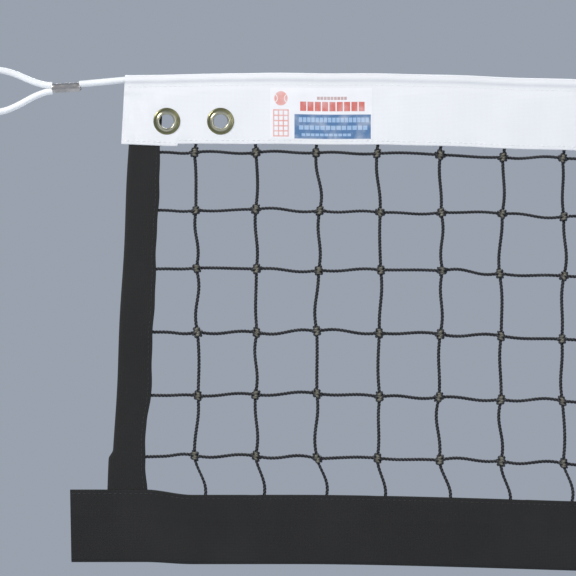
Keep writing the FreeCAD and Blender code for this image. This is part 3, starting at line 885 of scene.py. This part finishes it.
def band_section():
    """The folded headband from its front hem, up its face, round the cable and down the back."""
    low = band_low.z + 0.4 * MM + HEM_TURN
    half = [(HEM_LEG, low + 9.4 * MM), (HEM_LEG, low + 0.6 * MM)]
    half += arc((HEM_LEG + HEM_TURN, low), HEM_TURN, 180, 360, 6)
    half += [(FACE, 17.5 * MM), (2.36 * MM, 21 * MM), (2.1 * MM, 24 * MM), (2.0 * MM, BAND_TOP_STITCH)]
    half += [(2.1 * MM, 27.0 * MM)]
    half += arc((0, CABLE_HEIGHT + 0.1 * MM), ROLL, -40, 90, 14)
    front = [(-y, z) for y, z in half]
    return even_steps(front + half[-2::-1], 1.6 * MM)


def end_share(x):
    """1 at either end of the headband and 0 from 120 mm in."""
    return 1 - smooth(from_band_end(x) / (120 * MM))


def mouth(x):
    """How much wider each side of the pocket is near the headband's ends."""
    return MOUTH_WIDER * (1 - smooth(from_band_end(x) / MOUTH_REACH))


def puckers(x, z):
    """How the headband's face stands out: over the side tape, in soft waves, and between its stitches."""
    from_end = from_band_end(x)
    over_tape = smooth((from_end - 3 * MM) / (2 * MM)) * smooth((26 * MM - from_end) / (2 * MM))
    over_tape *= smooth((14 * MM - z) / (4 * MM))
    ribs = np.sin(2 * np.pi * z / (3.4 * MM))
    ribs *= smooth((z + 12 * MM) / (4 * MM)) * smooth((8 * MM - z) / (4 * MM))
    waves = np.sin(x * 71 + z * 22 + 1.0) + 0.6 * np.sin(x * 147 - z * 61 + 2.0)
    waves += 0.35 * np.sin(x * 331 + z * 95)
    creases = np.sin(x * 520 + 3 * np.sin(z * 90)) * smooth((52 * MM - from_end) / (30 * MM))
    clear = np.ones_like(x)
    for centre in GROMMETS:
        clear *= smooth((np.hypot(x - centre, z) - 8 * MM) / (6 * MM))
    near_stitch = np.exp(-((z - BAND_FOOT_STITCH) / (1.1 * MM)) ** 2)
    pulls = near_stitch * (0.16 + 0.09 * np.sin(2 * np.pi * x / STITCH_PITCH))
    face = 0.22 * over_tape + 0.10 * over_tape * ribs + 0.22 * waves + 0.14 * creases
    return MM * (clear * face - pulls)


def drape_band(points):
    """Lets the headband hang: its ends lean and its top climbs a little from them."""
    x, y, z = points.T
    outward = np.sign(x - MIDDLE)
    lean = outward * BAND_END_LEAN * end_share(x) ** 4 * (0.35 - z / (24 * MM))
    lift = 1.7 * MM * (1 - end_share(x)) * smooth((z + 4 * MM) / (30 * MM))
    ripple = 0.25 * MM * (np.sin(x * 39 + 0.4) + 0.6 * np.sin(x * 93)) * (1 - end_share(x))
    from_end = from_band_end(x)
    turned = -1.8 * MM * from_end / TURNED_END * np.clip((TURNED_END - from_end) / (0.6 * MM) + 0.5, 0, 1)
    foot = smooth((-z - 4 * MM) / (10 * MM))
    return hang(np.stack([x + lean, y, z + lift + ripple + turned * foot], axis=1))


def place_on_band(stations, section):
    """Where the headband's cloth hangs."""
    side = np.sign(section[:, 0])
    on_face = smooth((22 * MM - section[:, 1]) / (4 * MM))
    on_face *= smooth((np.abs(section[:, 0]) - 2 * MM) / (0.4 * MM))
    y = section[:, 0] + side * on_face * puckers(stations, section[:, 1])
    throat = smooth((section[:, 1] - 18 * MM) / (4 * MM)) * smooth((32.5 * MM - section[:, 1]) / (3 * MM))
    y = y + side * mouth(stations) * throat
    roll = smooth((section[:, 1] - 27 * MM) / (4 * MM))
    y = y * (1 + roll * 0.03 * np.sin(stations * 210))
    return drape_band(np.stack([stations, y, section[:, 1]], axis=1))


def on_band_face(x, z, side, off):
    """A place on the band's outer face, this far off the cloth."""
    x, z = np.broadcast_arrays(np.asarray(x, float), np.asarray(z, float))
    taper = 0.45 * MM * smooth((z - 19 * MM) / (6.6 * MM))
    bulge = puckers(x, z) * smooth((22 * MM - z) / (4 * MM))
    throat = smooth((z - 18 * MM) / (4 * MM))
    y = side * (FACE - taper + CLOTH / 2 + off + bulge + mouth(x) * throat)
    return np.stack([x, y, z], axis=-1)


def select_points(piece, chosen):
    """Selects these vertices only, in object mode."""
    edit(piece, lambda: bpy.ops.mesh.select_all(action="DESELECT"))
    piece.data.vertices.foreach_set("select", chosen)


def cut_round_holes(piece, centres, radius):
    """Cuts holes through the cloth along Y and draws their ragged edges in to a circle."""
    def from_centres():
        x, _, z = points_of(piece).T
        return np.array([np.hypot(x - centre, z) for centre in centres])

    select_points(piece, (from_centres() < radius).any(axis=0))
    bpy.ops.object.mode_set(mode="EDIT")
    bpy.ops.mesh.delete(type="VERT")
    bpy.ops.mesh.select_all(action="DESELECT")
    bpy.ops.mesh.select_non_manifold()
    bpy.ops.object.mode_set(mode="OBJECT")
    on_edge = np.zeros(len(piece.data.vertices), dtype=bool)
    piece.data.vertices.foreach_get("select", on_edge)
    away = from_centres()
    spots = points_of(piece)
    for distance, centre in zip(away, centres):
        ragged = on_edge & (distance < radius + 5 * MM)
        share = (radius / distance[ragged])[:, None]
        middle = np.array([centre, 0, 0])
        drawn = middle + (spots[ragged] - middle) * share
        spots[ragged, 0] = drawn[:, 0]
        spots[ragged, 2] = drawn[:, 2]
    move_points(piece, lambda _: spots)


def make_headband():
    near_end = np.array([TURNED_END - 0.3 * MM, TURNED_END + 0.3 * MM])
    stations = np.linspace(band_low.x, band_high.x, 320)
    stations = np.sort(np.concatenate([stations, band_low.x + near_end, band_high.x - near_end]))
    section = band_section()
    band = strip("headband_cloth", stations, section, place_on_band)
    cut_round_holes(band, GROMMETS, HOLE_RADIUS)
    thickened(band, CLOTH)
    dressed(band, BAND_CLOTH)
    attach(band, "headband")
    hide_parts("headband")
    return band, section[1][-1]


band, band_cloth_length = make_headband()


# ---- stitches ----

def lay_stitches(name, places, directions, length, radius, material):
    """One thread per stitch: it leaves the cloth, lies on it and goes back in."""
    pattern = drawn_out("stitch", radius, length, 4, 5)
    x, y, z = points_of(pattern).T
    dip = 1.5 * radius * (1 - np.sin(np.pi * np.clip(z / length, 0, 1)) ** 0.6)
    base = np.stack([x, y, z - length / 2], axis=1)
    base[:, 1] += dip
    faces = [tuple(face.vertices) for face in pattern.data.polygons]
    discard(pattern)
    points, corners = [], []
    for place, (along, out) in zip(places, directions):
        across = np.cross(along, out)
        turn = np.stack([across, -np.asarray(out), along], axis=1)
        first = len(points) * len(base)
        points.append(base @ turn.T + place)
        corners += [tuple(first + corner for corner in face) for face in faces]
    mesh = bpy.data.meshes.new(name)
    mesh.from_pydata(np.concatenate(points), [], corners)
    piece = bpy.data.objects.new(name, mesh)
    bpy.context.scene.collection.objects.link(piece)
    edit(piece, lambda: bpy.ops.mesh.normals_make_consistent(inside=False))
    alone(piece)
    bpy.ops.object.shade_smooth()
    piece.data.materials.append(material)
    return piece


def stitch_line(surface, stations, side, pitch):
    """Places and directions for stitches along X on a surface(x) that gives points."""
    ahead = surface(stations + 0.3 * pitch)
    behind = surface(stations - 0.3 * pitch)
    along = (ahead - behind) / np.linalg.norm(ahead - behind, axis=1)[:, None]
    out = np.array([0, side, 0.0])
    return surface(stations), [(direction, out) for direction in along]


def make_band_stitches():
    """Two rows of lockstitch on each face of the headband."""
    stations = np.arange(band_low.x + 4 * MM, band_high.x - 3 * MM, STITCH_PITCH)
    places, directions = [], []
    for side in (-1, 1):
        for height in (BAND_TOP_STITCH, BAND_FOOT_STITCH):
            found, ways = stitch_line(
                lambda x: drape_band(on_band_face(x, height, side, 0.05 * MM)), stations, side, STITCH_PITCH)
            places += list(found)
            directions += ways
    stitches = lay_stitches("headband_stitches", places, directions, STITCH_LENGTH, HALF_STITCH,
                            WHITE_THREAD)
    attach(stitches, "headband")
    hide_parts("headband_stitching")
    return stitches


band_stitches = make_band_stitches()


# ---- the label ----

LABEL_CLOTH = 0.4 * MM


def make_label():
    """A thin printed patch that lies on the band's face."""
    width, height = label_high.x - label_low.x, label_high.z - label_low.z
    rows, along = even_steps([(0, 0), (0, height)], 1.5 * MM)
    stations = np.linspace(0, width, 51)

    def place(station, row):
        return drape_band(on_band_face(label_low.x + station, label_low.z + row[:, 1], -1, -0.08 * MM))

    label = strip("label_patch", stations, (rows, along), place)
    thickened(label, LABEL_CLOTH)
    dressed(label, LABEL_PRINT)
    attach(label, "headband")
    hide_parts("label")
    return label


label = make_label()


# ---- grommets ----

def make_grommets():
    """Rolled rings with a barrel through the band, and washers behind: (radius, towards the back)."""
    front = [(5.2, 3.2), (5.2, -3.0), (5.35, -3.75), (5.75, -4.2), (6.35, -4.35), (6.95, -4.15),
             (7.3, -3.75), (7.7, -3.55), (8.6, -3.62), (9.3, -3.5), (9.75, -3.2), (9.9, -2.85),
             (9.6, -2.7), (5.9, -2.7), (5.9, 2.9), (5.9, 4.0), (5.6, 4.3), (5.3, 4.1), (5.2, 3.2)]
    back = [(5.95, 3.2), (6.3, 4.0), (6.9, 4.2), (7.5, 3.9), (8.6, 3.75), (9.3, 3.65), (9.75, 3.35),
            (9.9, 3.0), (9.6, 2.75), (5.95, 2.75), (5.95, 3.2)]
    made = {}
    for name, profile in (("grommet_rings", front), ("grommet_backs", back)):
        pattern = face_out(turned(name, [(radius * MM, -along * MM) for radius, along in profile], 56))
        x, y, _ = points_of(pattern).T
        # The "tarnish" attribute is 0 round the bore, where the brass gets a cream painted highlight, and 1
        # on the outer rim.
        ring = pattern.data.attributes.new("tarnish", "FLOAT", "POINT")
        ring.data.foreach_set("value", smooth((np.hypot(x, y) - 7.0 * MM) / (0.9 * MM)))
        pattern.data.transform(Matrix.Rotation(math.pi / 2, 4, "X"))
        rings = []
        for number, centre in enumerate(GROMMETS):
            turn = Matrix.Rotation(math.radians(47 * number), 4, "Y")
            rings.append(copied(pattern, name, Matrix.Translation((centre, billow(centre, 0.0), 0)) @ turn))
        discard(pattern)
        made[name] = join(name, rings)
        smooth_faces(made[name], 60)
        dressed(made[name], BRASS)
        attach(made[name], "headband")
    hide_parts("grommets")
    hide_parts("grommet_washers")
    return list(made.values())


grommet_pieces = make_grommets()


make_eye("left")
make_eye("right")


# ---- the cable inside the band ----

def make_cable():
    """The jacketed cable in the headband's pocket, and the strand inside it."""
    for name, radius, material, slot, node in (
            ("cable_in_band", CABLE_RADIUS, VINYL, "white_vinyl", "cable_jacket"),
            ("cable_strand", STRAND_RADIUS, STRAND_STEEL, "steel_strand", "cable_core")):
        rod = drawn_out(name, radius, band_high.x - band_low.x - 0.4 * MM, 120, 12)
        place = Matrix.Translation((band_low.x + 0.2 * MM, 0, CABLE_HEIGHT))
        rod.data.transform(place @ Matrix.Rotation(math.pi / 2, 4, "Y"))
        move_points(rod, drape_band)
        smooth_faces(rod, 50)
        dressed(rod, material)
        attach(rod, "cable")
        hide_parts(node)


make_cable()


# ---- the net ----

KNOT_SPOTS = np.clip(rng.normal(0, 1, (2, ROWS + 2, COLUMNS + 4)), -2, 2) * KNOT_JITTER
KNOT_SPOTS[1] *= 0.6
# the first row's knots lie only lower, clear of the headband
KNOT_SPOTS[1, 1] = -np.abs(KNOT_SPOTS[1, 1])
KNOT_SPOTS[:, 0] = KNOT_SPOTS[:, -1] = 0
KNOT_SPOTS[:, :, :2] = KNOT_SPOTS[:, :, -2:] = 0
WAVES = rng.uniform(-1, 1, (4, ROWS + 2, COLUMNS + 4)) * TWINE_WAVE
ROW_HEIGHTS = np.array([TOP_ROW, *FOLDS, HEM_ROW])
LIFTS = np.array([0, *ROW_LIFTS, 0])


def net_field(points):
    """Moves points of the flat net as its knots lie and as its twine bows between them."""
    x, y, z = points.T
    row = np.clip(np.interp(-z, -ROW_HEIGHTS, np.arange(ROWS + 2)), 0, ROWS + 0.999)
    column = np.clip((x - FIRST_COLUMN) / MESH + 2, 0, COLUMNS + 2.999)
    above, left = np.floor(row).astype(int), np.floor(column).astype(int)
    down, right = row - above, column - left
    corners = [(0, 0, (1 - down) * (1 - right)), (0, 1, (1 - down) * right), (1, 0, down * (1 - right)),
               (1, 1, down * right)]
    shift = [sum(spots[above + i, left + j] * share for i, j, share in corners) for spots in KNOT_SPOTS]
    near_row, near_column = np.rint(row).astype(int), np.rint(column).astype(int)
    inside = smooth((column - 1.4) / 0.6) * smooth((COLUMNS + 1.6 - column) / 0.6)
    bow = WAVES[0][above, near_column] * np.sin(np.pi * down)
    bow += WAVES[1][above, near_column] * np.sin(2 * np.pi * down)
    dip = WAVES[2][near_row, left] * np.sin(np.pi * right) * 0.6
    dip += WAVES[3][near_row, left] * np.sin(2 * np.pi * right)
    sway = HEM_DRIFT * smooth((FOLDS[-1] - 1 * MM - z) / (24 * MM))
    lift = np.interp(-z, -ROW_HEIGHTS, LIFTS)
    moved = np.stack([x + shift[0] + inside * bow + sway, y, z + shift[1] + inside * dip + lift], axis=1)
    return hang(moved)


def blend_rows(piece):
    """Bakes the placement of a piece at a knot row's fold into its mesh."""
    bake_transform(piece)


def blend_hem(piece):
    """The same for a piece at the fold above the bottom tape."""
    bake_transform(piece)


def make_uprights():
    """The twine between rows, one piece for each row of meshes."""
    nodes = [["top_twine_tails"], *[[f"hanging_twines_{row}"] for row in range(1, ROWS + 1)]]
    nodes[ROWS].append("hem_twines")
    for number, (top, foot) in enumerate(zip([TOP_ROW, *FOLDS], [*FOLDS, HEM_ROW])):
        pattern = laid_rope("upright", top - foot)
        lines = []
        for column in range(COLUMNS):
            turn = Matrix.Rotation(rng.uniform(0, 6.28), 4, "Z")
            place = Matrix.Translation((FIRST_COLUMN + column * MESH, 0, foot))
            lines.append(copied(pattern, "upright", place @ turn))
        discard(pattern)
        piece = join(f"uprights_{number}", lines)
        move_points(piece, net_field)
        dressed(piece, NET_TWINE)
        if number == 0:
            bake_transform(piece)
        elif number < ROWS:
            blend_rows(piece)
        else:
            blend_hem(piece)
        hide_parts(*nodes[number])


def make_cross_twines():
    """One twine along each knot row, and the net's two edge twines."""
    names = ["top_cross_twine", *[f"cross_twine_{row}" for row in range(1, ROWS + 1)], "hem_cross_twine"]
    for name, body, height in zip(names, BODIES, ROW_HEIGHTS):
        low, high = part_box(name)
        rope = laid_rope(f"{name}_rope", high.x - low.x)
        place = Matrix.Translation((low.x, 0, height))
        rope.data.transform(place @ Matrix.Rotation(math.pi / 2, 4, "Y"))
        move_points(rope, net_field)
        dressed(rope, NET_TWINE)
        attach(rope, body)
        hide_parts(name)


KNOT_SIZE = 1.27          # of the pattern that the knots are copied from


def knot_pattern():
    """Two tight rings of twine drawn round the crossing, and a turn of it slanting over the front."""
    rings = []
    for slant, aside, deep, wide in (
            (38, 0.98, 1.85, 2.15), (38, -0.98, 1.85, 2.15), (-52, 0.25, 1.4, 2.25)):
        bpy.ops.mesh.primitive_torus_add(major_segments=16, minor_segments=7, major_radius=1 * MM,
                                         minor_radius=1.05 * MM, generate_uvs=True)
        ring = new_piece("ring")
        x, y, z = points_of(ring).T
        out = np.hypot(x, y)
        wider, deeper = x / out * (out + (wide - 1) * MM), y / out * (out + (deep - 1) * MM)
        ring.data.vertices.foreach_set("co", np.stack([wider, deeper, z], axis=1).ravel())
        turn = Matrix.Rotation(math.radians(-slant), 4, "Y")
        ring.data.transform(turn @ Matrix.Translation((0, 0, aside * MM)))
        rings.append(ring)
    knot = join("knot", rings)
    alone(knot)
    bpy.ops.object.shade_smooth()
    return knot


def make_knots():
    """A knot at every crossing, each turned and sized a little differently."""
    pattern = knot_pattern()
    for row, height in enumerate(FOLDS, 1):
        knots = []
        for column in range(COLUMNS):
            flip = Matrix.Diagonal((-1 if (row + column) % 2 else 1, 1, 1, 1))
            turn = Matrix.Rotation(rng.normal(0, 0.16), 4, "Y")
            turn = turn @ Matrix.Rotation(rng.normal(0, 0.12), 4, "X")
            size = Matrix.Scale(KNOT_SIZE + rng.normal(0, 0.035), 4)
            place = Matrix.Translation((FIRST_COLUMN + column * MESH, 0, height))
            knots.append(copied(pattern, "knot", place @ turn @ size @ flip))
        piece = face_out(join(f"knots_row_{row}", knots))
        x, y, _ = points_of(piece).T
        from_knot = (x - FIRST_COLUMN) % MESH
        from_knot = np.minimum(from_knot, MESH - from_knot)
        # A painted highlight: a pale spot on the front and back of each knot, at its middle.
        painted_highlight = smooth((np.abs(y) - 2.45 * MM) / (0.5 * MM)) * smooth(1.6 - from_knot / MM)
        mark = piece.data.attributes.new("painted_highlight", "FLOAT", "POINT")
        mark.data.foreach_set("value", 0.5 * painted_highlight)
        move_points(piece, net_field)
        dressed(piece, KNOT_TWINE)
        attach(piece, f"row_{row}")
        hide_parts(f"knots_{row}")
    discard(pattern)


make_uprights()
make_cross_twines()
make_knots()


# ---- the side tapes ----

TAPE_CLOTH = 0.6 * MM
TAPE_FLAT = 1.65 * MM     # from the net's plane to the middle of the webbing
TAPE_STITCH_PITCH = 3.6 * MM
TAPE_STITCH_INSET = 2.6 * MM
FLAP_STEPS, TURN_STEPS = 11, 9
FLAP, TURN = 18, 5        # millimetres of flat webbing in each flap and round the fold
TAPE_TOP, TAPE_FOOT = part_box("left_side_tape_top")[1].z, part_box("left_side_tape_tail")[0].z


def tape_edges(z):
    """The left tape's outer fold and its inner edges at a height."""
    depth = -z + band_low.z
    outer = -27.6 * MM - 0.0505 * depth - 2.9 * MM * smooth((-z - 241.5 * MM) / (6.5 * MM))
    inner = -4.5 * MM - 0.040 * depth - 2.1 * MM * smooth((-z - 203 * MM) / (18 * MM))
    inner = inner + 2.0 * MM * smooth((-z - 252 * MM) / (20 * MM))
    outer = outer + 0.35 * MM * np.sin(z * 61 + 1)
    return outer, inner + 0.4 * MM * np.sin(z * 88) + 0.2 * MM * np.sin(z * 230 + 2)


def tape_face(z, from_inner, side):
    """Half the tape's thickness where a flap lies: pinched in the headband and soft at its free edge."""
    pinch = 1 - 0.25 * smooth((z - band_low.z - 1 * MM) / (4 * MM))
    soft = 0.22 * MM * np.sin(z * 120 + side) * smooth(1 - from_inner / (9 * MM))
    return TAPE_FLAT * pinch + soft * (pinch > 0.99)


def tape_section():
    """Across the tape as (share of the flat width, turn of the fold), from one free edge to the other."""
    flat = [(share, 0.0) for share in np.linspace(0, 1, FLAP_STEPS)]
    fold = [(1.0, turn) for turn in np.linspace(0, np.pi, TURN_STEPS)[1:-1]]
    return np.array(flat + fold + [(share, np.pi) for share, _ in reversed(flat)])


def hang_on_side(points, side_name):
    """Hangs points of the left tape, or their mirror image at the right."""
    if side_name == "right":
        points[:, 0] = 2 * MIDDLE - points[:, 0]
    return hang(points)


def place_tape(side_name):
    def place(stations, section):
        share, turn = section.T
        outer, inner = tape_edges(stations)
        width = inner - outer - TAPE_FLAT
        x = inner - share * width - TAPE_FLAT * np.sin(turn)
        flap = np.where(turn > np.pi / 2, 1, -1)
        half = np.where((turn > 0) & (turn < np.pi), TAPE_FLAT * np.abs(np.cos(turn)),
                        tape_face(stations, share * width, flap))
        return hang_on_side(np.stack([x, flap * half, stations], axis=1), side_name)

    return place


def make_side_tape(side_name):
    """Seven lengths of folded tape, each crossing one fold line of the net."""
    middles = [(high + low) / 2 for high, low in zip(FOLDS, [*FOLDS[1:], HEM_FOLD])]
    cuts = [TAPE_TOP, *middles, TAPE_FOOT]
    section = tape_section()
    across = np.concatenate([np.linspace(0, FLAP, FLAP_STEPS),
                             np.linspace(FLAP, FLAP + TURN, TURN_STEPS)[1:-1],
                             np.linspace(FLAP + TURN, 2 * FLAP + TURN, FLAP_STEPS)]) * MM
    for number, (top, foot) in enumerate(zip(cuts[:-1], cuts[1:]), 1):
        stations = np.linspace(top, foot, max(12, round((top - foot) / (1.6 * MM))))
        name = f"{side_name}_tape_{number}"
        tape = strip(name, stations, (section, across), place_tape(side_name))
        thickened(tape, TAPE_CLOTH)
        dressed(tape, SIDE_WEBBING)
        stitches = tape_stitches(side_name, number, top, foot)
        for piece in (tape, stitches):
            if number <= ROWS:
                blend_rows(piece)
            else:
                blend_hem(piece)
        nodes = [f"{side_name}_side_tape_{number}" if number <= ROWS else f"{side_name}_side_tape_tail"]
        if number == 1:
            nodes.append(f"{side_name}_side_tape_top")
        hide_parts(*nodes)


def tape_stitches(side_name, number, top, foot):
    """A line of black stitches near the tape's free edges, on both faces."""
    heights = np.arange(top - 2 * MM, foot + 1 * MM, -TAPE_STITCH_PITCH)
    places, directions = [], []
    mirror = 1 if side_name == "left" else -1
    for side in (-1, 1):
        x = tape_edges(heights)[1] - TAPE_STITCH_INSET
        y = side * (tape_face(heights, TAPE_STITCH_INSET, side) + TAPE_CLOTH / 2 + 0.02 * MM)
        places += list(hang_on_side(np.stack([x, y, heights], axis=1), side_name))
        directions += [(np.array([0.04 * mirror, 0, 1.0]), np.array([0, side, 0.0]))] * len(heights)
    stitches = lay_stitches(f"{side_name}_tape_stitches_{number}", places, directions, 2.9 * MM, 0.26 * MM,
                            BLACK_THREAD)
    return stitches


make_side_tape("left")
make_side_tape("right")


# ---- the bottom tape ----

HEM_STITCH = sum(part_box("bottom_tape_stitching")[k].z for k in (0, 1)) / 2
HEM_HALF = (hem_high.x - hem_low.x) / 2


def hem_section():
    """The folded bottom tape from its front hem, down its face, round the fold and up the back."""
    top = hem_high.z - 0.4 * MM - HEM_TURN
    half = [(HEM_LEG, top - 9 * MM), (HEM_LEG, top - 0.6 * MM)]
    half += arc((HEM_LEG + HEM_TURN, top), HEM_TURN, 180, 0, 6)
    half += arc((0, hem_low.z + 0.4 * MM + FACE), FACE, 0, -90, 8)
    front = [(-y, z) for y, z in half]
    return even_steps(front + half[-2::-1], 1.8 * MM)


def hem_puckers(x, z):
    """How the bottom tape's face stands out, in waves, over the net's edge and between its stitches."""
    waves = np.sin(x * 63 + z * 40) + 0.7 * np.sin(x * 129 - z * 75 + 1) + 0.4 * np.sin(x * 290 + z * 60 + 2)
    near_stitch = np.exp(-((z - HEM_STITCH) / (1.2 * MM)) ** 2)
    pulls = near_stitch * (0.2 + 0.1 * np.sin(2 * np.pi * x / STITCH_PITCH))
    over_net = np.exp(-((z - HEM_ROW) / (2.2 * MM)) ** 2)
    return MM * (0.24 * waves + 0.22 * over_net - pulls)


def drape_hem(points):
    """Lets the bottom tape hang: its ends climb a little and their cuts lean."""
    x, y, z = points.T
    from_end = HEM_HALF - np.abs(x - MIDDLE)
    climb = 3.9 * MM * (1 - smooth((from_end - 55 * MM) / (35 * MM)))
    outward = np.sign(x - MIDDLE)
    lean = outward * 1.0 * MM * (1 - smooth(from_end / (30 * MM))) * (z - hem_high.z) / (51 * MM)
    climb = climb * (0.4 + 0.6 * smooth((z - hem_low.z) / (45 * MM)))
    return hang(np.stack([x + lean, y, z + climb], axis=1))


def place_on_hem(stations, section):
    side = np.sign(section[:, 0])
    on_face = smooth((np.abs(section[:, 0]) - 2 * MM) / (0.4 * MM))
    y = section[:, 0] + side * on_face * hem_puckers(stations, section[:, 1])
    return drape_hem(np.stack([stations, y, section[:, 1]], axis=1))


def make_bottom_tape():
    """The folded bottom tape with a row of stitches on each face."""
    stations = np.linspace(hem_low.x, hem_high.x, 300)
    section = hem_section()
    tape = strip("bottom_tape_cloth", stations, section, place_on_hem)
    thickened(tape, CLOTH)
    dressed(tape, HEM_CLOTH)
    spots = np.arange(hem_low.x + 3 * MM, hem_high.x - 3 * MM, STITCH_PITCH)
    places, directions = [], []
    for side in (-1, 1):
        def on_face(x, side=side):
            y = side * (FACE + CLOTH / 2 + hem_puckers(x, HEM_STITCH))
            return drape_hem(np.stack([x, y, np.full_like(x, HEM_STITCH)], axis=1))
        found, ways = stitch_line(on_face, spots, side, STITCH_PITCH)
        places += list(found)
        directions += ways
    stitches = lay_stitches("bottom_tape_stitches", places, directions, STITCH_LENGTH, HALF_STITCH,
                            BLACK_THREAD)
    for piece, node in ((tape, "bottom_tape"), (stitches, "bottom_tape_stitching")):
        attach(piece, "bottom_hem")
        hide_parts(node)


make_bottom_tape()
